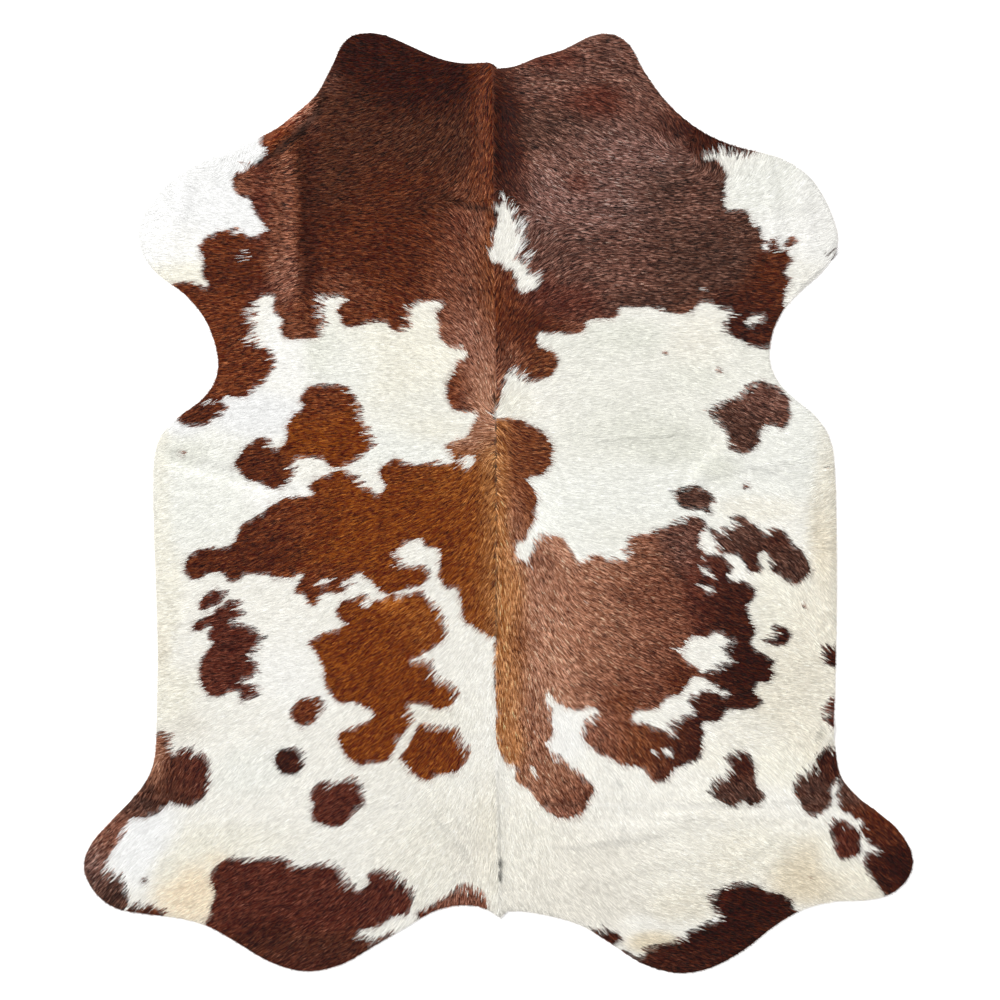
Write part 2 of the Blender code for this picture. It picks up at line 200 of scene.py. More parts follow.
# Chestnut markings, in pixels. Where one reaches the edge, its outline runs on outside the hide.
CHESTNUT = {
    "left shoulder": [
        (497, 463), (497, 450), (497, 40), (490, 20), (330, 20), (290, 60), (245, 120), (259, 137),
        (257, 143), (262, 147), (266, 150), (264, 155), (263, 159), (258, 163), (252, 166), (247, 166),
        (248, 171), (235, 173), (233, 180), (231, 186), (234, 192), (240, 197), (247, 199), (250, 203),
        (250, 207), (253, 213), (256, 219), (261, 223), (266, 228), (268, 230), (261, 233), (254, 236),
        (249, 237), (244, 235), (238, 229), (235, 227), (226, 230), (217, 232), (208, 235), (202, 240),
        (197, 246), (200, 253), (202, 260), (201, 266), (200, 273), (203, 279), (207, 284), (207, 287),
        (194, 283), (174, 283), (160, 300), (160, 340), (160, 400), (170, 414), (176, 419), (181, 425),
        (186, 426), (191, 428), (196, 428), (203, 426), (210, 422), (218, 417), (222, 412), (223, 407),
        (221, 402), (223, 397), (245, 397), (258, 386), (273, 364), (273, 357), (268, 350), (257, 345),
        (252, 339), (251, 331), (252, 322), (253, 313), (254, 305), (258, 299), (272, 298), (271, 305),
        (272, 312), (276, 318), (283, 320), (277, 327), (279, 332), (287, 339), (300, 339), (317, 337),
        (319, 330), (323, 326), (323, 318), (321, 310), (321, 303), (318, 299), (347, 299), (339, 305),
        (336, 311), (341, 318), (340, 322), (345, 327), (361, 325), (372, 323), (383, 323), (390, 329),
        (399, 332), (407, 326), (407, 315), (412, 304), (428, 300), (441, 304), (435, 312), (437, 325),
        (438, 336), (442, 342), (450, 348), (457, 349), (463, 350), (470, 353), (463, 357), (457, 360),
        (455, 366), (452, 373), (448, 380), (444, 385), (445, 392), (446, 400), (448, 406), (454, 410),
        (466, 412), (477, 415), (473, 421), (470, 427), (467, 434), (458, 440), (451, 441), (444, 446),
        (448, 450), (453, 457), (455, 463),
    ],
    "right shoulder": [
        (502, 20), (496, 40), (496, 400), (495, 412), (499, 408), (500, 400), (502, 392), (505, 385),
        (508, 380), (505, 376), (512, 371), (520, 374), (528, 382), (536, 382), (546, 378), (553, 374),
        (558, 368), (560, 360), (557, 354), (548, 349), (541, 347), (538, 336), (539, 332), (583, 332),
        (589, 320), (618, 317), (621, 308), (631, 307), (653, 308), (669, 312), (690, 313), (699, 305),
        (705, 303), (714, 305), (723, 309), (733, 314), (730, 321), (726, 327), (727, 333), (737, 339),
        (750, 345), (766, 350), (785, 340), (796, 318), (784, 305), (787, 298), (786, 293), (788, 287),
        (792, 279), (788, 275), (789, 267), (794, 261), (790, 255), (789, 250), (781, 248), (780, 243),
        (776, 238), (770, 240), (765, 240), (762, 235), (764, 230), (761, 226), (756, 227), (753, 223),
        (749, 214), (744, 209), (729, 208), (725, 204), (727, 196), (725, 190), (727, 180), (727, 172),
        (723, 167), (719, 161), (713, 159), (705, 160), (703, 157), (711, 154), (722, 153), (734, 153),
        (749, 153), (755, 151), (750, 130), (690, 90), (650, 20),
    ],
    "left upper flank": [
        (321, 383), (342, 387), (352, 393), (360, 412), (366, 428), (372, 446), (361, 455), (344, 467),
        (328, 466), (323, 461), (309, 459), (294, 462), (291, 470), (287, 484), (272, 489), (256, 483),
        (243, 478), (237, 470), (233, 466), (240, 454), (250, 442), (261, 438), (272, 447), (283, 446),
        (286, 428), (293, 415), (302, 407), (299, 398), (307, 388),
    ],
    "left barrel": [
        (498, 440), (470, 452), (447, 465), (431, 461), (415, 465), (403, 462), (393, 459), (380, 467),
        (378, 475), (384, 484), (380, 493), (372, 492), (364, 488), (352, 475), (339, 471), (320, 477),
        (307, 488), (313, 495), (299, 497), (288, 497), (272, 505), (256, 516), (240, 526), (230, 545),
        (207, 548), (191, 553), (183, 569), (191, 580), (217, 572), (230, 584), (242, 577), (250, 575),
        (272, 577), (290, 578), (302, 574), (302, 576), (299, 581), (296, 586), (293, 591), (298, 595),
        (303, 596), (305, 601), (308, 605), (314, 606), (318, 604), (316, 600), (320, 596), (326, 593),
        (330, 593), (333, 595), (341, 592), (347, 589), (352, 587), (350, 584), (344, 584), (345, 581),
        (349, 580), (352, 576), (357, 574), (361, 573), (364, 578), (367, 581), (371, 584), (377, 588),
        (379, 591), (384, 594), (390, 594), (399, 591), (415, 588), (430, 576), (417, 566), (406, 566),
        (393, 556), (404, 544), (420, 539), (423, 547), (438, 550), (439, 564), (438, 575), (447, 590),
        (455, 590), (460, 606), (463, 620), (476, 630), (489, 638), (498, 640),
    ],
    "left middle": [
        (310, 640), (316, 636), (325, 633), (335, 630), (341, 628), (347, 625), (341, 623), (338, 620),
        (336, 616), (335, 611), (338, 607), (340, 603), (346, 599), (354, 597), (361, 596), (366, 598),
        (364, 602), (362, 606), (364, 609), (368, 608), (371, 605), (374, 601), (380, 599), (386, 597),
        (392, 594), (400, 597), (412, 593), (423, 595), (434, 606), (441, 618), (446, 634), (436, 647),
        (423, 655), (409, 662), (428, 663), (434, 679), (447, 685), (455, 693), (456, 700), (449, 707),
        (436, 710), (426, 707), (406, 707), (413, 718), (398, 740), (393, 750), (386, 761), (370, 765),
        (355, 765), (343, 753), (338, 735), (356, 726), (373, 717), (353, 703), (338, 704), (325, 689),
        (323, 671), (315, 655), (307, 642),
    ],
    "left rear": [
        (419, 725), (428, 727), (439, 728), (456, 730), (459, 741), (469, 753), (466, 763), (456, 772),
        (439, 776), (426, 782), (413, 776), (406, 766), (399, 758), (406, 748), (413, 735),
    ],
    "left flank, upper lobe": [
        (208, 591), (216, 590), (223, 591), (226, 594), (222, 598), (219, 601), (217, 605), (209, 608),
        (202, 611), (197, 610), (199, 606), (199, 601), (202, 597), (205, 594),
    ],
    "left flank": [
        (228, 600), (233, 599), (240, 602), (241, 604), (237, 607), (235, 609), (238, 612), (244, 614),
        (238, 617), (233, 620), (231, 624), (239, 623), (244, 625), (250, 627), (254, 631), (259, 635),
        (264, 637), (260, 641), (258, 646), (254, 651), (250, 656), (250, 661), (257, 662), (254, 666),
        (258, 670), (255, 674), (249, 678), (245, 681), (240, 684), (248, 684), (257, 687), (258, 692),
        (256, 697), (249, 700), (241, 702), (238, 698), (238, 693), (231, 692), (225, 694), (218, 697),
        (210, 697), (204, 692), (201, 687), (199, 681), (198, 674), (199, 667), (199, 660), (200, 657),
        (204, 652), (208, 648), (212, 643), (211, 641), (206, 640), (207, 634), (208, 631), (212, 626),
        (206, 628), (200, 630), (193, 631), (191, 627), (196, 621), (201, 618), (208, 616), (213, 613),
        (212, 611), (218, 608), (224, 603),
    ],
    "left oval": [(288, 715), (299, 700), (323, 702), (319, 716), (304, 727)],
    "left star": [
        (309, 794), (319, 783), (334, 785), (342, 781), (350, 778), (358, 785), (361, 806), (350, 816),
        (337, 828), (320, 824), (310, 820), (313, 808),
    ],
    "left hip": [
        (150, 737), (162, 731), (169, 737), (167, 743), (172, 756), (178, 748), (193, 751), (204, 761),
        (209, 778), (204, 796), (191, 807), (177, 806), (169, 803), (163, 810), (146, 819), (133, 818),
        (126, 823), (121, 839), (105, 861), (110, 873), (121, 879), (126, 899), (123, 911), (110, 920),
        (60, 880), (80, 820), (130, 770), (140, 740),
    ],
    "left hock": [(126, 911), (141, 904), (153, 907), (163, 914), (150, 925), (126, 925)],
    "left thigh": [
        (205, 935), (206, 921), (213, 896), (209, 874), (219, 863), (229, 859), (244, 861), (266, 858),
        (286, 861), (297, 869), (307, 866), (320, 863), (332, 866), (342, 876), (350, 887), (360, 891),
        (368, 884), (365, 876), (371, 872), (386, 871), (396, 879), (408, 887), (414, 902), (411, 906),
        (410, 912), (405, 917), (398, 916), (393, 918), (388, 921), (382, 925), (377, 929), (368, 929),
        (358, 933), (363, 938), (370, 942), (380, 938), (392, 933), (392, 942), (372, 960), (300, 990),
        (230, 960),
    ],
    "left rump": [
        (417, 913), (428, 908), (438, 902), (445, 898), (452, 893), (458, 889), (463, 887), (470, 888),
        (478, 891), (484, 898), (487, 907), (480, 918), (440, 928), (417, 918),
    ],
    "right barrel": [
        (496, 419), (503, 419), (509, 417), (517, 420), (530, 423), (534, 427), (542, 429), (548, 437),
        (553, 446), (554, 455), (551, 466), (543, 475), (527, 480), (533, 487), (537, 494), (539, 504),
        (537, 512), (537, 518), (532, 527), (528, 534), (527, 541), (518, 545), (517, 558), (531, 563),
        (533, 550), (544, 537), (563, 539), (572, 550), (582, 564), (588, 556), (608, 558), (619, 558),
        (630, 563), (627, 548), (638, 534), (648, 535), (655, 529), (660, 528), (667, 528), (674, 524),
        (683, 519), (690, 517), (698, 518), (705, 521), (709, 526), (706, 530), (702, 536), (701, 543),
        (698, 546), (703, 550), (708, 555), (718, 555), (725, 558), (730, 563), (735, 569), (733, 573),
        (728, 575), (731, 580), (740, 583), (747, 582), (753, 586), (756, 591), (756, 598), (754, 602),
        (749, 606), (751, 610), (751, 620), (756, 633), (752, 644), (757, 649), (766, 655), (774, 662),
        (772, 669), (775, 674), (771, 681), (760, 683), (757, 689), (756, 694), (766, 703), (760, 707),
        (747, 710), (730, 710), (726, 714), (722, 721), (711, 722), (704, 724), (703, 729), (706, 735),
        (703, 741), (703, 748), (701, 760), (680, 768), (674, 770), (671, 777), (665, 782), (655, 783),
        (650, 778), (644, 772), (639, 768), (633, 767), (625, 766), (619, 765), (613, 760), (609, 757),
        (606, 758), (601, 757), (597, 754), (593, 749), (587, 743), (583, 738), (579, 735), (584, 734),
        (585, 730), (584, 725), (587, 723), (590, 721), (590, 717), (595, 716), (601, 714), (597, 709),
        (590, 707), (585, 710), (580, 713), (571, 710), (562, 707), (556, 702), (548, 693), (545, 700),
        (551, 707), (554, 711), (552, 718), (553, 726), (553, 733), (550, 740), (546, 744), (549, 751),
        (552, 756), (558, 758), (563, 761), (570, 767), (578, 772), (585, 778), (590, 784), (596, 790),
        (590, 800), (585, 813), (568, 820), (550, 814), (539, 803), (529, 790), (517, 783), (515, 766),
        (507, 765), (501, 755), (496, 738), (496.5, 715), (494, 690), (492.5, 665), (493, 640),
    ],
    "right barrel, front": [
        (674, 492), (678, 489), (683, 488), (690, 486), (698, 486), (705, 489), (712, 493), (716, 497),
        (717, 502), (712, 504), (712, 508), (712, 513), (708, 514), (703, 511), (697, 511), (689, 511),
        (684, 509), (680, 503), (676, 498),
    ],
    "right flank": [
        (711, 527), (717, 531), (723, 534), (726, 530), (730, 528), (736, 528), (736, 525), (734, 516),
        (741, 515), (746, 518), (751, 523), (756, 526), (762, 531), (769, 532), (774, 531), (780, 529),
        (784, 531), (789, 536), (794, 544), (798, 548), (803, 551), (806, 557), (810, 563), (811, 570),
        (810, 575), (805, 580), (800, 585), (794, 586), (788, 583), (781, 577), (773, 571), (771, 565),
        (769, 562), (771, 559), (769, 555), (764, 552), (760, 553), (759, 556), (761, 564), (765, 570),
        (763, 573), (755, 574), (749, 570), (745, 564), (741, 558), (736, 556), (727, 555), (721, 554),
        (718, 551), (719, 546), (715, 540), (711, 533),
    ],
    "right flank, rear": [
        (763, 638), (775, 635), (773, 625), (784, 627), (793, 635), (791, 641), (784, 646), (775, 646),
    ],
    "right edge spot": [(824, 649), (845, 650), (845, 667), (826, 664)],
    "right edge strip": [(832, 700), (842, 700), (842, 728), (834, 728), (826, 720)],
    "right armpit": [
        (710, 412), (716, 405), (723, 402), (733, 402), (740, 400), (742, 396), (745, 391), (750, 387),
        (756, 383), (762, 381), (769, 383), (778, 386), (784, 391), (789, 398), (791, 406), (792, 417),
        (789, 425), (786, 429), (781, 428), (776, 428), (771, 425), (768, 426), (764, 430), (761, 433),
        (762, 438), (762, 442), (757, 447), (752, 453), (743, 454), (735, 452), (730, 446), (728, 440),
        (725, 434), (722, 427), (717, 421), (712, 416),
    ],
    "right bell": [
        (741, 752), (727, 760), (732, 768), (719, 781), (709, 793), (719, 801), (736, 808), (744, 801),
        (752, 807), (762, 803), (767, 796), (759, 790), (756, 778), (754, 758),
    ],
    "right hip": [
        (827, 751), (834, 748), (845, 745), (842, 773), (838, 778), (836, 785), (833, 788), (831, 790),
        (832, 797), (833, 803), (831, 809), (825, 812), (820, 815), (814, 819), (802, 805), (795, 787),
        (803, 776), (813, 770), (818, 764), (821, 756),
    ],
    "right hock": [
        (840, 777), (838, 786), (837, 796), (838, 803), (841, 809), (845, 813), (850, 815), (855, 819),
        (859, 821), (862, 820), (863, 825), (862, 831), (867, 838), (869, 843), (874, 847), (879, 850),
        (884, 852), (880, 854), (873, 852), (868, 852), (865, 856), (864, 862), (865, 868), (869, 876),
        (876, 882), (880, 888), (886, 896), (890, 910), (930, 890), (930, 840), (870, 780), (848, 765),
    ],
    "right hock, inner": [
        (831, 822), (840, 823), (846, 821), (850, 822), (855, 829), (859, 834), (862, 838), (861, 845),
        (862, 852), (858, 857), (852, 858), (847, 860), (843, 863), (838, 856), (835, 849), (833, 840),
        (831, 832),
    ],
    "right thigh": [
        (624, 950), (632, 954), (641, 957), (643, 953), (651, 948), (660, 946), (672, 942), (684, 938),
        (690, 932), (699, 929), (706, 923), (719, 919), (718, 914), (712, 909), (710, 903), (713, 896),
        (720, 890), (732, 886), (749, 882), (767, 891), (789, 897), (795, 907), (800, 920), (750, 960),
        (690, 990), (640, 975), (622, 958),
    ],
    "right foreleg droplet": [
        (783, 246), (787, 240), (792, 236), (797, 237), (799, 241), (795, 245), (789, 247),
    ],
    "right rump": [(586, 932), (603, 929), (618, 934), (623, 939), (613, 946), (600, 946)],
}

# Ivory places within the markings, in pixels.
IVORY = {
    "blaze": [
        (504, 195), (506, 199), (507, 203), (510, 208), (514, 213), (515, 221), (518, 226), (520, 231),
        (523, 237), (520, 246), (516, 255), (521, 260), (528, 263), (531, 270), (534, 275), (540, 280),
        (545, 279), (541, 284), (536, 288), (531, 290), (525, 293), (520, 289), (518, 284), (519, 279),
        (515, 276), (514, 271), (513, 267), (508, 269), (503, 266), (501, 262), (497, 260), (494, 258),
        (492, 261), (490, 260), (489, 255), (490, 249), (493, 244), (495, 235), (497, 225), (498, 216),
        (499, 211), (496, 208), (495, 206), (500, 203), (502, 200),
    ],
    "waist": [(490, 412), (494, 413), (500, 409), (504, 414), (501, 419), (494, 418)],
    "left barrel notch": [(459, 461), (468, 455), (474, 458), (474, 464), (466, 469), (463, 466)],
    "right barrel, middle": [
        (672, 649), (683, 649), (688, 641), (693, 637), (702, 637), (709, 638), (716, 633), (722, 635),
        (729, 640), (735, 644), (727, 647), (724, 650), (728, 655), (734, 660), (726, 663), (719, 665),
        (717, 669), (709, 671), (703, 674), (700, 669), (693, 664), (686, 660), (681, 653),
    ],
    "right barrel, rear": [
        (635, 721), (634, 718), (636, 715), (638, 713), (647, 712), (656, 710), (665, 702), (672, 698),
        (680, 695), (685, 689), (692, 683), (690, 680), (697, 677), (704, 678), (711, 682), (718, 688),
        (726, 692), (733, 695), (725, 696), (718, 694), (711, 690), (708, 690), (702, 694), (695, 695),
        (690, 700), (691, 705), (697, 711), (698, 715), (690, 716), (682, 719), (674, 723), (670, 727),
        (677, 734), (665, 732), (656, 728), (645, 723), (640, 726),
    ],
    "right barrel, sliver": [
        (699, 565), (707, 570.5), (714, 575.5), (719, 581), (712, 578), (705, 573.5), (701, 569),
    ],
    "right barrel, lower sliver": [
        (696, 584), (704, 585), (710, 588), (716, 594), (709, 591.5), (702, 588),
    ],
    "right barrel, last sliver": [(663, 748), (669, 751), (674, 757), (665, 755)],
    "tail sliver": [(530, 766), (534, 767), (538, 778), (533, 775)],
    "right shoulder, curved patch": [
        (745, 322), (748, 325), (754, 323), (762, 319), (766, 317), (758, 316), (752, 318),
    ],
    "left barrel streak": [(317, 582), (323, 579), (330, 579), (336, 578), (331, 581), (325, 584)],
}

# Small round spots: place and radius in pixels.
Fleck = namedtuple("Fleck", "x y radius")
CHESTNUT_FLECKS = [
    Fleck(288, 762, 14), Fleck(143, 881, 2.5), Fleck(182, 453, 2), Fleck(667, 353, 2.5),
    Fleck(720.6, 370.5, 3), Fleck(746.5, 488, 2.5), Fleck(805, 607, 2.5), Fleck(829, 467, 1.5),
    Fleck(813, 879, 2),
]
IVORY_FLECKS = [Fleck(766, 247, 3)]

# Colours of hair, as screen values from 0 to 255. streak is how far single tufts stray from the colour, in
# the same values.
Tone = namedtuple("Tone", "red green blue streak")
TONES = {
    "umber": Tone(50, 16, 5, 9),
    "sable": Tone(63, 27, 16, 12),
    "liver": Tone(87, 41, 29, 14),
    "cocoa": Tone(74, 40, 26, 12),
    "walnut": Tone(86, 39, 19, 13),
    "bark": Tone(87, 47, 32, 14),
    "chestnut": Tone(105, 51, 26, 16),
    "hazel": Tone(110, 59, 32, 16),
    "russet": Tone(122, 59, 15, 13),
    "copper": Tone(136, 74, 28, 15),
    "ginger": Tone(159, 105, 60, 16),
    "amber": Tone(181, 124, 76, 17),
    "honey": Tone(193, 117, 48, 14),
    "tan": Tone(173, 126, 101, 19),
    "sand": Tone(142, 95, 77, 20),
    "fawn": Tone(158, 110, 86, 20),
    "rose": Tone(120, 73, 54, 22),
    "blush": Tone(137, 90, 73, 24),
    "mauve": Tone(106, 71, 60, 25),
    "heather": Tone(123, 90, 81, 28),
    "dusk": Tone(82, 54, 44, 20),
    "snow": Tone(243, 243, 242, 3),
    "milk": Tone(242, 241, 237, 3),
    "chalk": Tone(236, 236, 235, 3),
    "ivory": Tone(239, 237, 230, 4),
    "pearl": Tone(237, 237, 231, 4),
    "shell": Tone(234, 233, 225, 4),
    "bone": Tone(236, 233, 223, 5),
    # This grey tone is ivory darkened by painted shade, laid in the hollows beside folds in the white coat.
    "shaded_ivory": Tone(225, 225, 215, 5),
    "ash": Tone(226, 222, 212, 5),
    "butter": Tone(236, 233, 221, 5),
    "flax": Tone(231, 226, 212, 6),
    "cream": Tone(238, 224, 199, 6),
    "wheat": Tone(222, 211, 188, 6),
}

# Where each tone lies: ellipses as (x, y, half width, half height) in pixels, which fade into each other.
LEFT_CHESTNUT_TONES = {
    "umber": [(365, 60, 42, 26), (418, 85, 42, 26)],
    # sable's first ellipse, a narrow band at x 309, is painted shade in the trough beside the left shoulder
    # fold.
    "sable": [(309, 215, 9, 70), (288, 762, 20, 20), (262, 938, 16, 12)],
    "liver": [
        (230, 660, 40, 36), (335, 805, 30, 26), (215, 600, 14, 10), (240, 890, 36, 30),
        (320, 895, 40, 26), (385, 895, 30, 22), (195, 770, 18, 22), (300, 965, 60, 16), (258, 205, 9, 26),
        (258, 163, 9, 14), (262, 300, 11, 12), (458, 222, 9, 10),
    ],
    "cocoa": [
        (345, 105, 26, 26), (390, 140, 50, 24), (440, 140, 36, 30), (335, 185, 30, 30),
        (420, 205, 30, 12), (300, 955, 60, 14),
    ],
    "walnut": [
        (370, 235, 50, 55), (410, 240, 34, 50), (225, 270, 25, 18), (195, 412, 22, 18),
        (200, 565, 34, 20), (260, 538, 30, 18), (255, 465, 26, 20),
    ],
    "bark": [(175, 782, 20, 22)],
    "chestnut": [
        (484, 140, 12, 60), (220, 330, 30, 34), (240, 370, 26, 20), (225, 390, 22, 16),
        (305, 318, 22, 16), (365, 308, 26, 16), (400, 310, 26, 18), (300, 520, 30, 20),
        (320, 400, 22, 22), (305, 713, 20, 16), (450, 395, 16, 30), (208, 245, 16, 12),
        (330, 585, 30, 14), (275, 138, 16, 12),
    ],
    "russet": [
        (330, 440, 40, 26), (350, 525, 40, 30), (400, 580, 40, 26), (440, 540, 30, 40),
        (350, 650, 40, 40), (400, 690, 40, 30), (360, 740, 30, 24), (432, 752, 34, 26),
    ],
    "hazel": [(487, 260, 9, 50)],
    "copper": [(460, 490, 26, 24), (470, 560, 22, 40), (425, 620, 20, 20), (480, 618, 8, 16)],
    "ginger": [(488, 480, 8, 26), (488, 560, 9, 70)],
    "honey": [(391, 604, 13, 7)],
    "tan": [(482, 400, 14, 40), (156, 758, 8, 20), (462, 440, 9, 9)],
    "sand": [(468, 345, 22, 36)],
    # rose's first ellipse, a band at x 283, is painted light on the lit side of the left shoulder fold.
    "rose": [
        (283, 215, 12, 60), (245, 182, 20, 16), (462, 240, 26, 40), (450, 290, 24, 24),
        (362, 302, 16, 12), (300, 328, 14, 18), (340, 284, 16, 13), (160, 742, 8, 9),
    ],
    "blush": [
        (300, 112, 16, 16), (462, 897, 22, 14), (284, 280, 12, 24), (120, 840, 24, 22), (478, 222, 8, 12),
        (462, 402, 8, 14),
    ],
    "heather": [(95, 868, 16, 18)],
    "mauve": [(330, 80, 8, 12)],
    "dusk": [(150, 808, 22, 14), (115, 892, 20, 20)],
}
RIGHT_CHESTNUT_TONES = {
    # umber's first ellipse, a band at x 507 beside the backbone at the neck, is painted shade in the trough
    # there.
    "umber": [
        (507, 140, 12, 70), (750, 905, 34, 16), (715, 935, 36, 20), (756, 655, 26, 40),
        (896, 866, 14, 16),
    ],
    "sable": [
        (700, 132, 40, 12), (690, 958, 40, 14), (742, 620, 22, 26), (832, 768, 12, 18),
        (880, 882, 16, 14), (740, 765, 14, 14), (722, 708, 26, 16), (780, 636, 20, 12),
        (722, 590, 18, 22), (690, 740, 26, 22), (838, 658, 12, 12), (712, 142, 18, 10),
        (515, 194, 14, 18), (600, 936, 26, 12), (752, 318, 26, 22), (862, 842, 9, 12), (760, 558, 14, 11),
        (780, 542, 13, 9), (880, 842, 11, 9),
    ],
    "liver": [
        (834, 715, 12, 14), (846, 842, 18, 20), (705, 580, 16, 30), (580, 184, 11, 9), (598, 102, 24, 13),
        (552, 61, 24, 9), (540, 282, 12, 11), (562, 297, 30, 12),
    ],
    "walnut": [
        (522, 328, 24, 16), (772, 300, 20, 30), (870, 815, 24, 16), (885, 830, 18, 14),
        (770, 268, 14, 14), (680, 682, 12, 12),
    ],
    "chestnut": [(505, 300, 14, 30)],
    "hazel": [
        (530, 438, 26, 20), (530, 465, 24, 20), (640, 742, 40, 16), (545, 367, 16, 14),
        (525, 500, 18, 24), (520, 643, 8, 22), (622, 700, 12, 12),
    ],
    "amber": [
        (503, 450, 7, 30), (502, 520, 7, 40), (508, 610, 12, 50), (510, 700, 12, 60), (518, 741, 7, 14),
    ],
    "tan": [(545, 640, 26, 40), (560, 690, 36, 26), (560, 560, 26, 20)],
    "fawn": [
        (517, 525, 9, 28), (530, 725, 16, 26), (545, 780, 24, 22), (600, 570, 40, 20), (600, 640, 36, 40),
    ],
    "rose": [
        (508, 362, 14, 24), (650, 600, 30, 30), (640, 680, 34, 30), (575, 800, 20, 16),
        (546, 560, 16, 11), (600, 692, 16, 18),
    ],
    "blush": [(600, 740, 26, 18), (560, 815, 26, 8)],
    # On the right neck and shoulder, above y 270, mauve and heather are a painted sheen: the greyish pink of
    # light reflected off the hair.
    "mauve": [
        (530, 80, 20, 16), (565, 78, 26, 20), (612, 58, 26, 22), (640, 98, 18, 16), (570, 260, 50, 30),
        (622, 262, 30, 26), (690, 552, 18, 20), (770, 400, 26, 18), (700, 200, 26, 24),
        (580, 160, 16, 13), (858, 800, 9, 9),
    ],
    "heather": [(610, 150, 40, 24), (655, 155, 26, 20), (560, 205, 50, 26), (620, 200, 40, 26)],
    "dusk": [
        (682, 252, 28, 26), (728, 252, 26, 26), (695, 498, 24, 14), (745, 540, 30, 20),
        (790, 560, 24, 20), (740, 430, 26, 20), (740, 796, 26, 14), (818, 792, 16, 16),
        (560, 130, 36, 16), (665, 195, 30, 22), (850, 795, 14, 12), (718, 192, 15, 16), (640, 300, 26, 8),
    ],
}
LEFT_IVORY_TONES = {
    "snow": [(156, 215, 20, 36), (138, 840, 24, 26)],
    "milk": [
        (290, 348, 16, 30), (290, 372, 12, 10), (288, 665, 24, 36), (275, 496, 22, 10),
        (180, 240, 20, 16),
    ],
    "chalk": [
        (225, 195, 34, 40), (184, 205, 16, 26), (250, 150, 30, 22), (255, 414, 30, 14), (182, 424, 14, 8),
    ],
    "ivory": [
        (310, 620, 50, 40), (250, 600, 50, 30), (300, 840, 60, 40), (240, 730, 50, 30),
        (470, 760, 24, 60), (395, 923, 20, 8), (400, 805, 26, 22), (182, 650, 9, 20),
    ],
    "pearl": [(400, 445, 30, 14), (190, 490, 40, 36), (345, 365, 30, 24), (250, 764, 26, 20)],
    "shell": [(420, 405, 30, 22)],
    # The next row is painted shade: grey in the hollows beside the left shoulder fold and the left elbow.
    "shaded_ivory": [(318, 352, 14, 18), (182, 456, 18, 9)],
    "bone": [(440, 840, 50, 50), (440, 720, 30, 20)],
    "ash": [(188, 728, 16, 12), (466, 850, 16, 22)],
    "butter": [
        (400, 350, 46, 26), (425, 425, 22, 14), (160, 500, 8, 50), (250, 842, 44, 13), (165, 600, 12, 30),
        (180, 275, 24, 10), (410, 385, 30, 20), (172, 695, 16, 24), (203, 853, 24, 13),
        (168, 870, 12, 12),
    ],
    "flax": [(160, 640, 8, 26), (484, 828, 14, 40)],
    "cream": [(190, 890, 20, 20), (215, 859, 12, 7)],
}
RIGHT_IVORY_TONES = {
    "milk": [(822, 230, 20, 30), (566, 738, 12, 15), (806, 194, 18, 16), (778, 228, 14, 18)],
    "ivory": [
        (545, 400, 24, 20), (510, 235, 16, 40), (640, 815, 60, 26), (780, 808, 26, 16), (640, 922, 10, 5),
        (804, 272, 14, 10),
    ],
    "pearl": [
        (640, 490, 60, 24), (800, 430, 30, 36), (765, 474, 34, 18), (590, 510, 50, 30),
        (780, 190, 30, 20),
    ],
    "shell": [
        (600, 350, 40, 20), (600, 420, 50, 36), (700, 400, 40, 30), (740, 365, 30, 20),
        (620, 532, 34, 12),
    ],
    # The next ellipses are painted shade: grey in the hollows of the right side's folds.
    "shaded_ivory": [
        (672, 442, 26, 18), (640, 432, 36, 20), (722, 470, 16, 10), (622, 341, 26, 12),
        (700, 376, 20, 14),
    ],
    "bone": [
        (540, 860, 40, 40), (700, 840, 60, 34), (650, 880, 34, 16), (704, 352, 22, 20),
        (760, 735, 24, 14), (756, 507, 26, 8), (720, 757, 16, 10), (782, 822, 20, 7),
    ],
    "ash": [(600, 866, 50, 34), (560, 900, 40, 20), (618, 898, 22, 12)],
    "butter": [
        (765, 850, 30, 16), (785, 764, 20, 18), (777, 600, 14, 26), (522, 403, 14, 12),
        (832, 860, 12, 14),
    ],
    "flax": [
        (805, 645, 24, 36), (788, 705, 24, 28), (828, 520, 10, 100), (850, 885, 24, 12),
        (815, 745, 10, 12), (682, 900, 24, 12), (730, 862, 24, 12), (803, 742, 14, 12),
        (742, 843, 18, 10),
    ],
    "wheat": [(800, 868, 20, 18), (818, 884, 20, 10), (826, 545, 7, 28), (655, 943, 14, 6)],
}
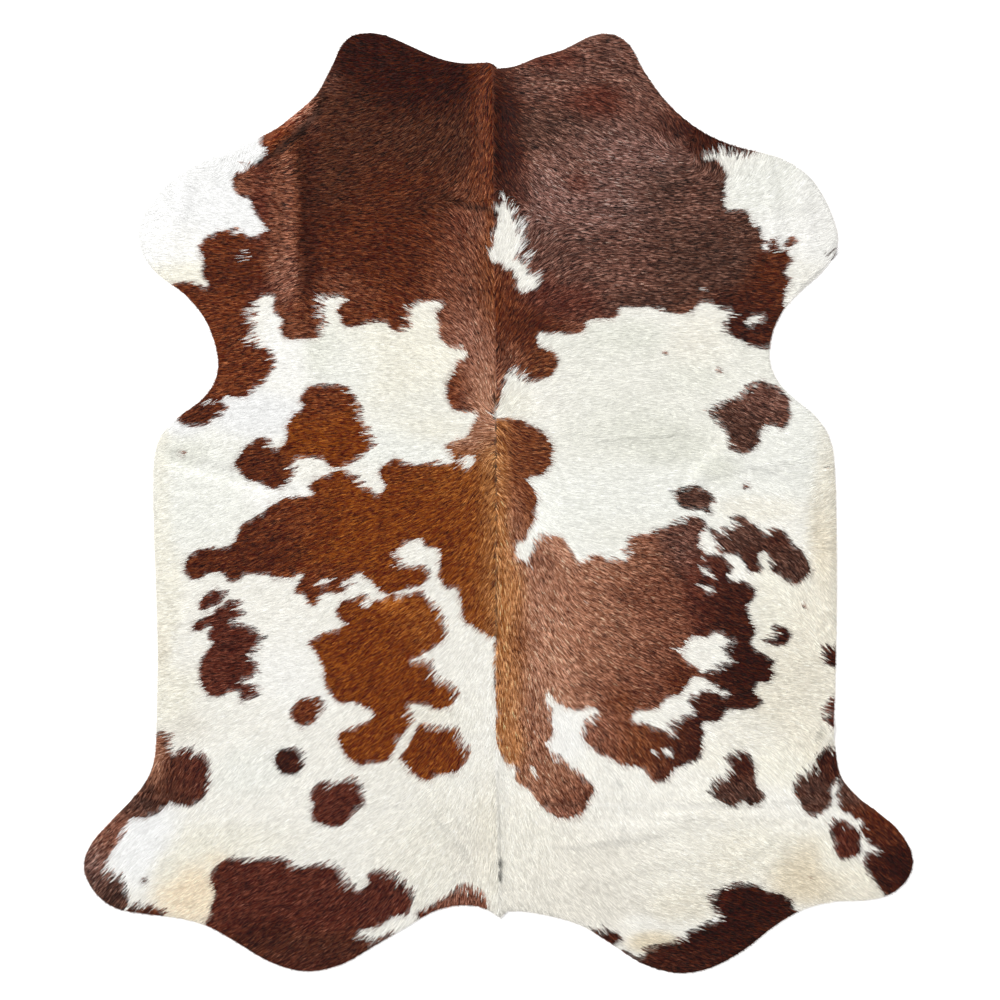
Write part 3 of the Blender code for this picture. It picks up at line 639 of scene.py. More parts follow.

# Thin lines of painted shade and painted light where the coat is pinched or parts, in pixels. shade is the
# share of light that a line loses, and below 0 the share that it gains.
Crease = namedtuple("Crease", "name start end half_width shade")
CREASES = [
    Crease("neck roll, upper", (322, 97), (317, 111), 2.2, 0.6),
    Crease("neck roll, middle", (316, 113), (302, 131), 3.2, 0.55),
    Crease("neck roll, lower", (301, 132), (277, 151), 3.6, 0.55),
    Crease("neck roll, end", (276, 152), (258, 164), 2.6, 0.5),
    Crease("neck roll, light", (309, 109), (270, 139), 5.0, -0.22),
    Crease("spine at the waist", (494, 396), (494, 416), 1.8, 0.6),
    Crease("spine at the loin", (495, 418), (496, 480), 1.9, 0.75),
    Crease("spine behind the loin", (496, 480), (496.5, 556), 1.3, 0.45),
    Crease("spine at the barrel", (496, 556), (496, 642), 1.6, 0.45),
    Crease("withers, left", (440, 197), (470, 206), 2.5, 0.3),
    Crease("withers, right", (470, 206), (497, 211), 2.5, 0.35),
    Crease("hip line", (803, 797), (856, 796), 1.2, 0.12),
    Crease("hip line, light", (803, 794), (856, 793), 1.2, -0.04),
    Crease("packing line, tail", (543, 806), (582, 806), 1.5, 0.45),
    Crease("tail end", (500, 911), (509, 915), 1.5, 0.15),
    Crease("left scratch", (136, 794), (169, 801), 1.0, -0.5),
    Crease("thigh scratch", (712, 929), (730, 891), 1.0, -0.6),
    Crease("spine's left side", (494, 642), (494, 690), 1.0, 0.35),
    Crease("elbow", (800, 291), (823, 268), 1.0, 0.12),
    Crease("neck roll, floor", (299, 140), (297, 170), 3.0, 0.2),
    Crease("flank dart", (824, 728), (817, 741), 1.5, 0.2),
    Crease("spine at the rump", (498, 770), (501, 905), 1.2, 0.10),
    Crease("rump spot", (501, 862), (501, 882), 1.5, 0.5),
    Crease("left elbow, hollow", (167, 450), (232, 472), 5.0, 0.04),
    Crease("left elbow, ridge", (165, 465), (262, 492), 4.5, -0.04),
    Crease("left rump, line", (431, 815), (469, 857), 2.2, 0.06),
    Crease("left rump, ridge", (452, 828), (484, 872), 2.5, -0.03),
    Crease("belly line", (598, 442), (687, 435), 1.3, 0.07),
    Crease("right elbow, ridge", (690, 478), (727, 440), 7.0, -0.03),
    Crease("right elbow, first line", (698, 482), (787, 463), 1.8, 0.06),
    Crease("right elbow, second line", (724, 458), (794, 481), 1.8, 0.05),
    Crease("right hip, first bend", (607, 768), (621, 786), 1.5, 0.06),
    Crease("right hip, middle bend", (621, 786), (627, 815), 1.5, 0.07),
    Crease("right hip, last bend", (627, 815), (622, 840), 1.5, 0.05),
    Crease("packing line, upper", (655, 806), (800, 803), 1.5, 0.05),
    Crease("packing line, lower", (645, 821), (800, 818), 1.5, 0.05),
    Crease("packing line, left", (370, 808), (424, 807), 1.5, 0.04),
    Crease("rump line", (567, 850), (664, 837), 2.2, 0.07),
    Crease("left foreleg, first wave", (167, 182), (174, 226), 3.5, 0.02),
    Crease("left foreleg, second wave", (190, 192), (181, 230), 3.0, 0.02),
    Crease("right shoulder, first wave", (603, 208), (650, 209), 1.3, 0.32),
    Crease("right shoulder, second wave", (624, 214), (656, 211), 1.1, 0.25),
    Crease("right shoulder, third wave", (541, 241), (600, 240), 1.0, 0.32),
    Crease("right shoulder, fourth wave", (580, 245), (656, 245), 1.0, 0.18),
    Crease("right shoulder, fifth wave", (546, 256), (602, 251), 1.2, 0.25),
    Crease("right shoulder, sixth wave", (606, 223), (650, 226), 1.0, 0.2),
    Crease("right shoulder, seventh wave", (650, 191), (692, 203), 1.5, 0.2),
    Crease("right shoulder, upper whorl", (656, 176), (700, 166), 2.0, 0.25),
    Crease("right shoulder, lower whorl", (660, 186), (688, 181), 1.8, 0.22),
    Crease("right shoulder, curl", (703, 161), (711, 159), 1.4, 0.5),
    Crease("right shoulder, curl's end", (711, 159), (713, 169), 1.4, 0.5),
    Crease("right shoulder, light", (660, 226), (700, 190), 3.0, -0.12),
    Crease("right armpit, light", (730, 252), (748, 232), 3.0, -0.1),
]

# Single long hairs that lie across a border. count tufts of them grow in each ellipse, and the lengths are
# in pixels. angle is as in the tables of how the hair lies.
Strands = namedtuple("Strands", "x y half_width half_height angle length tone count")
STRANDS = [
    Strands(248, 255, 6, 6, 175, 11, "milk", 12),
    Strands(239, 233, 2, 3, 185, 11, "milk", 6),
    Strands(237, 161, 1, 1, 18, 15, "rose", 4),
    Strands(254, 314, 4, 9, 172, 15, "milk", 16),
    Strands(254, 338, 4, 9, 170, 14, "milk", 14),
    Strands(326, 300, 2, 1, 202, 17, "milk", 5),
    Strands(324, 312, 3, 9, 180, 13, "milk", 12),
    Strands(513, 216, 3, 5, -58, 12, "milk", 16),
    Strands(516, 234, 4, 8, -50, 20, "milk", 36),
    Strands(516, 250, 4, 6, -48, 20, "milk", 26),
    Strands(523, 259, 4, 5, -35, 17, "milk", 24),
    Strands(518, 230, 4, 10, -50, 16, "umber", 10),
    Strands(521, 250, 3, 6, -45, 18, "umber", 12),
    Strands(534, 276, 3, 3, -25, 10, "milk", 6),
    Strands(506, 202, 1.5, 1.5, -111, 15, "milk", 9),
    Strands(716, 154, 8, 1.5, -105, 13, "milk", 8),
    Strands(728, 154, 5, 1.5, -102, 12, "milk", 5),
    Strands(773, 249, 10, 5, -20, 11, "pearl", 12),
    Strands(698, 289, 2, 1, 4, 14, "pearl", 4),
    Strands(700, 556, 1, 1, 32, 10, "pearl", 3),
    Strands(712, 404, 3, 4, 28, 9, "milk", 6),
    Strands(510, 372, 4, 3, -32, 12, "milk", 10),
    Strands(520, 377, 4, 3, -20, 12, "milk", 8),
    Strands(651, 750, 2, 2, 38, 13, "pearl", 10),
    Strands(665, 750, 3, 2, 30, 10, "milk", 6),
    Strands(214, 399, 6, 3, 152, 15, "milk", 8),
    Strands(366, 935, 5, 4, 160, 12, "pearl", 10),
    Strands(703, 525, 3, 2, 33, 14, "sable", 5),
    Strands(828, 256, 6, 5, -38, 13, "umber", 16),
]

# How the hair lies, from root to tip, as (x, y, angle) with the angle in degrees clockwise from the right.
LEFT_LIE = {
    "neck corner": [
        (345, 50, 195), (340, 72, 188), (380, 45, 185), (420, 60, 175), (390, 85, 168), (430, 80, 160),
        (460, 75, 155),
    ],
    "neck": [
        (340, 110, 170), (380, 110, 158), (415, 115, 145), (440, 110, 138), (460, 110, 125), (475, 110, 110),
        (488, 110, 97), (330, 150, 168), (380, 150, 158), (420, 150, 147), (450, 150, 132), (470, 150, 112),
        (486, 150, 98), (340, 190, 172), (390, 190, 165), (430, 190, 155), (455, 188, 140), (475, 185, 108),
        (488, 185, 98),
    ],
    "withers": [
        (485, 215, 262), (480, 225, 255), (468, 220, 240), (455, 215, 215), (445, 222, 200), (480, 260, 250),
        (465, 250, 230), (450, 250, 215), (435, 250, 200), (420, 260, 190), (485, 300, 262), (470, 300, 240),
        (455, 300, 220), (440, 300, 205), (450, 330, 215), (440, 340, 195), (470, 350, 235), (485, 350, 255),
        (455, 360, 205), (450, 380, 195), (470, 385, 225), (485, 395, 250), (495, 390, 268), (450, 400, 185),
        (470, 405, 200), (485, 415, 220),
    ],
    "cheek": [
        (310, 110, 150), (290, 130, 150), (270, 150, 165), (262, 140, 135), (245, 150, 115), (238, 160, 100),
        (232, 170, 150),
    ],
    "shoulder": [
        (250, 185, 190), (230, 200, 195), (200, 190, 200), (180, 210, 190), (160, 230, 185), (150, 250, 180),
        (180, 260, 178), (240, 250, 182), (280, 200, 185), (300, 200, 180), (380, 230, 180), (290, 292, 153),
        (245, 305, 177), (245, 335, 160), (240, 345, 170), (230, 370, 170), (215, 380, 165), (190, 410, 150),
        (315, 300, 200), (300, 340, 177), (350, 350, 178), (400, 350, 180),
    ],
    "barrel": [
        (480, 430, 180), (465, 435, 175), (480, 445, 160), (470, 470, 145), (485, 470, 120), (480, 500, 125),
        (488, 530, 110), (470, 520, 140), (450, 500, 155), (430, 480, 165), (400, 480, 170), (350, 480, 168),
        (300, 480, 165), (260, 500, 160), (220, 540, 160), (330, 420, 178), (300, 440, 170), (250, 460, 165),
        (200, 430, 165), (165, 480, 165), (400, 420, 180),
    ],
    "flank": [
        (440, 540, 150), (400, 540, 160), (350, 530, 160), (300, 550, 157), (460, 580, 140), (480, 600, 120),
        (470, 630, 130), (400, 620, 150), (360, 650, 148), (340, 740, 140), (420, 690, 143), (450, 680, 133),
        (475, 680, 118), (488, 700, 102), (165, 600, 172), (200, 600, 160), (230, 650, 172), (275, 660, 177),
        (180, 650, 172), (165, 700, 165), (300, 710, 150), (235, 725, 155), (245, 775, 132), (330, 760, 138),
    ],
    "hip": [(190, 770, 122), (165, 770, 110), (160, 745, 170), (230, 800, 137), (275, 835, 150)],
    "hind leg": [
        (150, 845, 140), (180, 885, 152), (105, 870, 135), (120, 890, 130), (265, 900, 150), (360, 810, 150),
        (380, 830, 145), (430, 830, 135), (450, 860, 125), (470, 800, 115), (488, 850, 97), (440, 885, 125),
        (470, 890, 95), (300, 940, 150),
    ],
}
RIGHT_LIE = {
    "neck": [
        (505, 120, 70), (512, 170, 68), (560, 55, 8), (600, 50, 8), (550, 90, 10), (595, 75, 13),
        (640, 90, 28), (575, 150, 30), (530, 170, 35), (530, 150, 28), (522, 130, 25), (520, 100, 12),
        (528, 190, 48), (545, 200, 35), (600, 120, 24),
    ],
    "shoulder": [
        (540, 200, 30), (637, 118, 28), (668, 130, 57), (628, 162, 5), (665, 165, 15), (600, 200, 8),
        (650, 230, 4), (700, 200, 3), (700, 270, 3), (640, 280, 3), (600, 250, 5),
    ],
    "withers": [
        (498, 215, -88), (505, 240, -75), (520, 240, -60), (530, 250, -50), (540, 275, -32), (505, 300, -80),
        (520, 300, -60), (540, 300, -35), (560, 310, -15), (505, 350, -75), (520, 350, -50), (540, 360, -20),
        (550, 370, -8), (510, 380, -50), (505, 400, -60), (530, 400, -15),
    ],
    "loin": [(500, 440, 60), (510, 440, 30), (530, 450, 5), (545, 460, 8), (525, 500, 35), (510, 520, 70)],
    "side": [
        (620, 340, 3), (600, 400, -3), (575, 430, -12), (560, 400, -14), (640, 450, 2), (670, 460, 3),
        (700, 400, 15), (740, 420, 27), (745, 480, 22), (720, 470, 15), (580, 500, 5),
    ],
    "foreleg whorl": [
        (710, 150, -110), (725, 150, -100), (745, 152, -80), (750, 170, -60), (785, 188, -43),
        (812, 205, -32), (748, 207, -10), (760, 190, -30), (805, 245, -8), (830, 255, -38), (712, 230, 3),
        (770, 270, 5), (760, 330, 10),
    ],
    "flank": [
        (690, 560, 18), (720, 560, 38), (730, 610, 22), (752, 620, 8), (765, 550, 37), (800, 570, 42),
        (810, 585, 68), (780, 500, 25), (818, 470, -15), (825, 500, -35), (820, 530, -10), (815, 590, 50),
        (825, 620, 55), (780, 635, 17), (790, 680, 8), (760, 720, 7),
    ],
    "barrel": [
        (510, 600, 85), (520, 700, 80), (540, 600, 60), (560, 650, 50), (600, 600, 30), (600, 680, 35),
        (650, 600, 20), (650, 680, 22), (700, 650, 20), (500, 700, 88), (545, 740, 70), (550, 790, 57),
        (600, 800, 58), (640, 780, 57), (740, 780, 47), (790, 770, 45), (640, 530, 10),
    ],
    "hind leg": [
        (505, 830, 78), (540, 860, 62), (570, 870, 48), (590, 880, 45), (660, 870, 25), (700, 900, 12),
        (700, 850, 18), (790, 860, 18), (760, 910, 15), (690, 950, 12), (815, 770, 62), (815, 800, 48),
        (846, 840, 58), (850, 800, 50), (880, 840, 42), (850, 880, 35),
    ],
}
SPINE = [(492, 20), (494, 240), (496, 400), (496, 640), (496, 760), (500, 940)]  # x and y of its line


def place(points, middle):
    """Pixels to metres. middle is the middle of the hide's box before it is moved to the origin."""
    return np.asarray(points, float) * (PIXEL, -PIXEL) - middle


def mix(first, last, span, at):
    """The point on the line through first and last that at gives, where they stand at the span's ends."""
    return first + (last - first) * ((at - span[0]) / (span[1] - span[0]))


def curve_through(points, step, closed=False):
    """A smooth curve through the points (a centripetal spline), sampled about every step."""
    points = [np.asarray(point, float) for point in points]
    if closed:
        padded = [points[-1], *points, points[0], points[1]]
    else:
        padded = [2 * points[0] - points[1], *points, 2 * points[-1] - points[-2]]
    samples = []
    for a, b, c, d in zip(padded, padded[1:], padded[2:], padded[3:]):
        knots = [0.0]
        for start, end in ((a, b), (b, c), (c, d)):
            knots.append(knots[-1] + sqrt(hypot(*(end - start))))
        count = max(1, round(hypot(*(c - b)) / step))
        for index in range(count):
            at = knots[1] + (knots[2] - knots[1]) * index / count
            low = mix(mix(a, b, knots[:2], at), mix(b, c, knots[1:3], at), knots[0:3:2], at)
            high = mix(mix(b, c, knots[1:3], at), mix(c, d, knots[2:], at), knots[1:4:2], at)
            samples.append(mix(low, high, knots[1:3], at))
    if not closed:
        samples.append(points[-1])
    return np.array(samples)


def edge_in_metres():
    """The closed rim, clockwise from above, with the middle of its box at the origin, and that middle."""
    sides = []
    for side in (RIGHT_EDGE, LEFT_EDGE):
        landmarks = [point for stretch in side.values() for point in stretch]
        sides.append(curve_through(place(landmarks, 0.0), EDGE_STEP))
    rim = np.vstack([sides[0][:-1], sides[1][:-1]])
    middle = (rim.min(axis=0) + rim.max(axis=0)) / 2
    return rim - middle, middle


def moved_in(rim, distance):
    """The rim moved inwards, square to its own direction."""
    ahead = np.roll(rim, -1, axis=0) - rim
    ahead /= np.linalg.norm(ahead, axis=1)[:, None]
    along = ahead + np.roll(ahead, 1, axis=0)
    along /= np.linalg.norm(along, axis=1)[:, None]
    mitre = np.minimum(MOST_MITRE, 1 / np.sum(along * ahead, axis=1))
    inwards = np.column_stack([along[:, 1], -along[:, 0]])
    return rim + inwards * (distance * mitre)[:, None]


def lift(points, folds):
    """How high the underside of the hide stands above the floor at these points."""
    total = np.zeros(len(points))
    for fold in folds:
        along = fold.end - fold.start
        length = hypot(*along)
        share = (points - fold.start) @ along / length**2
        aside = np.abs((points - fold.start) @ (-along[1], along[0])) / length / fold.half_width
        near = (share > 0) & (share < 1) & (aside < 1)
        height = fold.height * np.sqrt(np.sin(pi * share[near])) * np.cos(pi * aside[near] / 2) ** 2
        total[near] += height**2
    return np.sqrt(total)


def inside(points, outline):
    """Which of the points lie within the closed outline, by counting the edges to their right."""
    order = np.argsort(points[:, 1])
    heights = points[order, 1]
    odd = np.zeros(len(points), bool)
    for a, b in zip(outline, np.roll(outline, -1, axis=0)):
        first, last = np.searchsorted(heights, sorted((a[1], b[1])))
        if first < last:
            level = order[first:last]
            crossing = a[0] + (points[level, 1] - a[1]) * (b[0] - a[0]) / (b[1] - a[1])
            odd[level] ^= points[level, 0] < crossing
    return odd


def distance_to(points, rim):
    """The distance to the nearest edge of the rim."""
    nearest = np.full(len(points), np.inf)
    for a, b in zip(rim, np.roll(rim, -1, axis=0)):
        along = b - a
        share = np.clip((points - a) @ along / (along @ along), 0, 1)
        np.minimum(nearest, np.linalg.norm(points - a - share[:, None] * along, axis=1), out=nearest)
    return nearest


def reach_along(points, ways, rim, most):
    """How far it is from each point to the rim along its way, or most where that is further."""
    reach = np.full(len(points), most)
    for a, b in zip(rim, np.roll(rim, -1, axis=0)):
        edge = b - a
        turn = ways[:, 0] * edge[1] - ways[:, 1] * edge[0]
        turn[np.abs(turn) < 1e-9] = 1e-9
        gap = a - points
        along_way = (gap[:, 0] * edge[1] - gap[:, 1] * edge[0]) / turn
        along_edge = (gap[:, 0] * ways[:, 1] - gap[:, 1] * ways[:, 0]) / turn
        met = (along_way > 0) & (along_edge >= 0) & (along_edge <= 1)
        reach[met] = np.minimum(reach[met], along_way[met])
    return reach


def soft_noise(points, cell, seed):
    """Smooth noise from -1 to 1 that changes over about one cell."""
    lattice = np.random.default_rng(seed).uniform(-1, 1, (NOISE_CELLS, NOISE_CELLS))
    scaled = points / cell + NOISE_CELLS / 2
    whole = np.floor(scaled).astype(int)
    x, y = (scaled - whole).T
    x, y = x * x * (3 - 2 * x), y * y * (3 - 2 * y)
    column, row = whole.T % NOISE_CELLS
    beside, above = (column + 1) % NOISE_CELLS, (row + 1) % NOISE_CELLS
    low = lattice[row, column] * (1 - x) + lattice[row, beside] * x
    high = lattice[above, column] * (1 - x) + lattice[above, beside] * x
    return low * (1 - y) + high * y


def linear(screen):
    """Screen values from 0 to 255 as linear light."""
    share = np.clip(np.asarray(screen, float) / 255, 0, 1)
    return np.where(share <= 0.04045, share / 12.92, ((share + 0.055) / 1.055) ** 2.4)


def blended_tone(points, zones, usual):
    """The tone at each point, in pixels: the zones' tones by nearness, and the usual one between them."""
    total = np.full(len(points), USUAL_WEIGHT)
    tone = total[:, None] * np.array(TONES[usual], float)
    for name, ellipses in zones.items():
        for x, y, half_width, half_height in ellipses:
            away = ((points[:, 0] - x) / half_width) ** 2 + ((points[:, 1] - y) / half_height) ** 2
            weight = np.exp(-away)
            total += weight
            tone += weight[:, None] * np.array(TONES[name], float)
    return tone / total[:, None]


def lie_of(points, table):
    """The hair's way at each point, in pixels: the table's ways, by nearness."""
    ways = np.zeros_like(points)
    for x, y, angle in (row for rows in table.values() for row in rows):
        weight = 1 / (np.sum((points - (x, y)) ** 2, axis=1) + LIE_SPREAD) ** 2
        ways[:, 0] += weight * np.cos(radians(angle))
        ways[:, 1] += weight * np.sin(radians(angle))
    return ways / np.linalg.norm(ways, axis=1)[:, None]


def right_of_spine(points):
    """Which of the points, in pixels, lie to the right of the spine."""
    line = np.array(SPINE, float)
    return points[:, 0] > np.interp(points[:, 1], line[:, 1], line[:, 0])


def on_fleck(points, fleck):
    """Which of the points lie within the small round fleck."""
    return np.hypot(points[:, 0] - fleck.x, points[:, 1] - fleck.y) < fleck.radius


def marked(points):
    """Whether the coat is chestnut at each point, in pixels. Ivory is laid over chestnut."""
    chestnut = np.zeros(len(points), bool)
    for outline in CHESTNUT.values():
        chestnut |= inside(points, curve_through(outline, OUTLINE_STEP, closed=True))
    for fleck in CHESTNUT_FLECKS:
        chestnut |= on_fleck(points, fleck)
    for outline in IVORY.values():
        chestnut &= ~inside(points, curve_through(outline, OUTLINE_STEP, closed=True))
    for fleck in IVORY_FLECKS:
        chestnut &= ~on_fleck(points, fleck)
    return chestnut


def creased(points, tone):
    """The tone with the creases' lines of painted shade and painted light, which fade at both ends."""
    for crease in CREASES:
        start, end = np.array(crease.start, float), np.array(crease.end, float)
        along = end - start
        share = np.clip((points - start) @ along / (along @ along), 0, 1)
        away = np.linalg.norm(points - start - share[:, None] * along, axis=1) / crease.half_width
        tone[:, :3] *= (1 - crease.shade * np.exp(-away**2))[:, None]
    return tone


def coat_tone(points, chestnut):
    """Red, green, blue and streak at each point, in pixels."""
    right = right_of_spine(points)
    tone = np.zeros((len(points), 4))
    for is_right, is_chestnut, zones, usual in (
        (False, True, LEFT_CHESTNUT_TONES, "chestnut"),
        (True, True, RIGHT_CHESTNUT_TONES, "rose"),
        (False, False, LEFT_IVORY_TONES, "ivory"),
        (True, False, RIGHT_IVORY_TONES, "ivory"),
    ):
        chosen = (right == is_right) & (chestnut == is_chestnut)
        tone[chosen] = blended_tone(points[chosen], zones, usual)
    return creased(points, tone)


def coat_lie(points):
    """The hair's way at each point, in pixels."""
    right = right_of_spine(points)
    ways = np.zeros_like(points)
    ways[~right] = lie_of(points[~right], LEFT_LIE)
    ways[right] = lie_of(points[right], RIGHT_LIE)
    return ways


def grid_points(low, high, step):
    """A triangular grid of points over the box."""
    row_step = step * sqrt(3) / 2
    columns = np.arange(low[0], high[0], step)
    rows = np.arange(low[1], high[1], row_step)
    x, y = np.meshgrid(columns, rows)
    x[1::2] += step / 2
    return np.column_stack([x.ravel(), y.ravel()])


def turned(ways, angles):
    """The ways turned by the angles, in radians."""
    c, s = np.cos(angles), np.sin(angles)
    return np.column_stack([ways[:, 0] * c - ways[:, 1] * s, ways[:, 0] * s + ways[:, 1] * c])


def streaks(points, ways, cell, reach, seed):
    """Noise of unit spread that is drawn out along the hair, about one cell wide."""
    drawn = np.zeros(len(points))
    for step in np.linspace(-reach, reach, STREAK_STEPS):
        drawn += soft_noise(points + ways * step, cell, seed)
    return drawn / drawn.std()


def locks(points, size, rng):
    """The middle of the lock that each point belongs to, and that lock's random number from 0 to 1."""
    many = NOISE_CELLS
    spots = rng.uniform(0, 1, (many, many, 2))
    luck = rng.uniform(0, 1, (many, many, 3))[:, :, 0]  # three numbers are drawn for each, one is used
    cell = np.floor(points / size).astype(int)
    nearest = np.full(len(points), np.inf)
    middles, lucks = np.zeros_like(points), np.zeros(len(points))
    for right in (-1, 0, 1):
        for up in (-1, 0, 1):
            column, row = cell[:, 0] + right, cell[:, 1] + up
            middle = (np.column_stack([column, row]) + spots[row % many, column % many]) * size
            away = np.sum((points - middle) ** 2, axis=1)
            closer = away < nearest
            nearest[closer] = away[closer]
            middles[closer] = middle[closer]
            lucks[closer] = luck[row % many, column % many][closer]
    return middles, lucks


def fringed(seen, ways, luck):
    """Whether the coat is chestnut where each tuft is seen. luck, 0 to 1, is how far its point reaches.

    The third taken off the square of the luck keeps the border in its place on average.
    """
    before, after = marked(seen - ways * FRINGE_LOOK), marked(seen + ways * FRINGE_LOOK)
    reach = np.where(~before & after, FRINGE, CLEAN)
    return marked(seen - ways * (reach * (luck**2 - 1 / 3))[:, None])


def strayed(tone, by):
    """The tone made lighter or darker by the same amount in red, green and blue."""
    return np.clip(tone + by[:, None], tone * DARKEST, 255)


def strayed_colours(tone, spread, stray):
    """Linear colours that stray from the tone, and are as light on average as the tone itself.

    Ten likely strays, evenly spaced in rank, stand for them all where the average is taken.
    """
    likely = np.quantile(stray, np.linspace(0.05, 0.95, 10))
    usual = sum(linear(strayed(tone, spread * by)) for by in likely) / len(likely)
    colours = linear(strayed(tone, spread * stray)) * linear(tone) / usual
    return np.maximum(colours - GLOSS, GLOSS / 4) / MATT


class Coat:
    """Every tuft of the coat: where it is rooted, how it lies, how long it is and its colour."""

    def __init__(self, rim, middle, rng):
        self.rim = rim
        self.middle = middle
        self.rng = rng
        self.plant()
        flow = self.comb()
        self.cut()
        self.colour(flow)
        self.add_strands()

    def plant(self):
        """The roots, spread evenly but not in rows."""
        rim = self.rim
        area = 0.5 * abs(np.sum(rim[:, 0] * np.roll(rim[:, 1], -1) - rim[:, 1] * np.roll(rim[:, 0], -1)))
        step = sqrt(area / TUFTS / (sqrt(3) / 2))
        roots = grid_points(rim.min(axis=0), rim.max(axis=0), step)
        roots += self.rng.uniform(-0.5, 0.5, roots.shape) * step
        self.roots = roots[inside(roots, rim)]
        self.from_rim = distance_to(self.roots, rim)

    def comb(self):
        """How each tuft lies and gathers in its lock. Returns the way of the coat around each tuft."""
        roots, count = self.roots, len(self.roots)
        pixels = (roots + self.middle) / (PIXEL, -PIXEL)
        lean = LEAN[0] * soft_noise(roots, LEAN_OVER[0], SEED + 1)
        lean += LEAN[1] * soft_noise(roots, LEAN_OVER[1], SEED + 2)
        lean *= np.where(right_of_spine(pixels), 1.0, LEFT_LEAN)
        flow = turned(coat_lie(pixels) * (1, -1), lean)
        middles, luck = locks(roots, LOCK, self.rng)
        own_lean = LOCK_LEAN * (2 * luck - 1) + self.rng.normal(0, TUFT_LEAN, count)
        self.ways = turned(flow, own_lean)
        self.gather = (middles - roots) * GATHER
        self.guard = self.rng.uniform(0, 1, count) < GUARD_SHARE
        return flow

    def cut(self):
        """How long each tuft is. At the rim it is cut to the room before it and a share of the overhang."""
        self.lengths = HAIR_LENGTH * self.rng.uniform(*TUFT_LENGTHS, len(self.roots))
        near = self.from_rim < NEAR_RIM
        room = reach_along(self.roots[near], self.ways[near], self.rim, most=1.0)
        room += OVERHANG * self.rng.uniform(*OVERHANG_LUCK, len(room)) ** 2
        self.lengths[near] = np.minimum(self.lengths[near], np.maximum(room, LEAST_LENGTH))

    def colour(self, flow):
        """Each tuft's colour, from the tone and the markings in the place where it is seen."""
        y_down = (1, -1)
        seen = (self.roots + self.middle) / (PIXEL, -PIXEL)
        seen = seen + flow * y_down * (self.lengths * SHOWN_AT / PIXEL)[:, None]
        seen = seen + self.gather * y_down * GATHER_SHOWN / PIXEL
        shown = place(seen, self.middle)
        middle_luck, luck_spread = POINT_LUCK
        luck = np.clip(middle_luck + luck_spread * streaks(shown, flow, *POINT, SEED + 5), 0, 1)
        chestnut = fringed(seen, flow * y_down, luck)
        tone = coat_tone(seen, chestnut)
        strokes = STROKE_STRAY * streaks(shown, flow, *STROKE, SEED + 3)
        strokes += CLUMP_STRAY * streaks(shown, flow, *CLUMP, SEED + 4)
        strokes *= np.where(chestnut, 1.0, IVORY_STROKES)
        stray = TUFT_STRAY * self.rng.uniform(-1, 1, len(seen)) + strokes
        self.colours = strayed_colours(tone[:, :3], STRAY_GAIN * tone[:, 3], stray)

    def add_strands(self):
        """The single long hairs across the borders, as tufts on top of the others."""
        rng = self.rng
        for strands in STRANDS:
            count = strands.count
            angle = rng.uniform(0, 2 * pi, count)
            away = np.sqrt(rng.uniform(0, 1, count))
            spots = np.column_stack([
                strands.x + strands.half_width * away * np.cos(angle),
                strands.y + strands.half_height * away * np.sin(angle),
            ])
            right = np.full((count, 2), (1.0, 0.0))
            ways = turned(right, -radians(strands.angle) + rng.normal(0, STRAND_LEAN, count))
            roots = place(spots, self.middle)
            lengths = strands.length * PIXEL * rng.uniform(*STRAND_LENGTHS, count)
            colours = np.tile(linear(TONES[strands.tone][:3]), (count, 1))
            self.roots = np.vstack([self.roots, roots])
            self.ways = np.vstack([self.ways, ways])
            self.gather = np.vstack([self.gather, np.zeros_like(roots)])
            self.guard = np.append(self.guard, np.ones(count, bool))
            self.from_rim = np.append(self.from_rim, distance_to(roots, self.rim))
            self.lengths = np.append(self.lengths, lengths)
            self.colours = np.vstack([self.colours, colours])

    def strips(self):
        """The tufts' numbers in equal lots from left to right, each sorted from the neck to the tail."""
        order = np.argsort(self.roots[:, 0])
        lots = np.array_split(order, len(STRIPS))
        return {name: lot[np.argsort(-self.roots[lot, 1])] for name, lot in zip(STRIPS, lots)}


def tuft_points(coat, lot, folds, rng):
    """The corners of each tuft: a row of roots, then a tip for each hair."""
    roots, ways, lengths = coat.roots[lot], coat.ways[lot], coat.lengths[lot]
    across = np.column_stack([-ways[:, 1], ways[:, 0]])
    count = len(lot)
    width = HAIR_WIDTH * rng.uniform(*TUFT_WIDTHS, count)
    slope = np.clip(coat.from_rim[lot] / EDGE_SLOPE, LEAST_SLOPE, 1)
    points = np.zeros((count, 2 * HAIRS + 1, 3))
    for index in range(HAIRS + 1):
        aside = (index - HAIRS / 2) * width
        back = rng.uniform(-UNEVEN_ROOTS, UNEVEN_ROOTS, count)
        points[:, index, :2] = roots + across * aside[:, None] + ways * back[:, None]
        points[:, index, 2] = LEATHER - SUNK + CORRUGATION * (index % 2)
    guard_standing = rng.uniform(*GUARD_STANDING, count)
    under_standing = rng.uniform(*UNDER_STANDING, count)
    standing = np.where(coat.guard[lot], guard_standing, under_standing)
    for index in range(HAIRS):
        aside = (index - (HAIRS - 1) / 2) * width * rng.uniform(*HAIR_GAPS, count)
        tip_way = turned(ways, rng.normal(0, HAIR_LEAN, count))
        length = lengths * rng.uniform(*HAIR_LENGTHS, count)
        tips = roots + coat.gather[lot] + across * aside[:, None] + tip_way * length[:, None]
        points[:, HAIRS + 1 + index, :2] = tips
        height = COAT * slope * standing * rng.uniform(*HAIR_HEIGHTS, count)
        points[:, HAIRS + 1 + index, 2] = LEATHER + height
    points[:, :, 2] += lift(points[:, :, :2].reshape(-1, 2), folds).reshape(count, -1)
    return points


def colour_points(mesh, shade):
    """Gives each point of the mesh its colour, and smooth faces."""
    layer = mesh.color_attributes.new("coat", "FLOAT_COLOR", "POINT")
    layer.data.foreach_set("color", shade.ravel())
    mesh.shade_smooth()


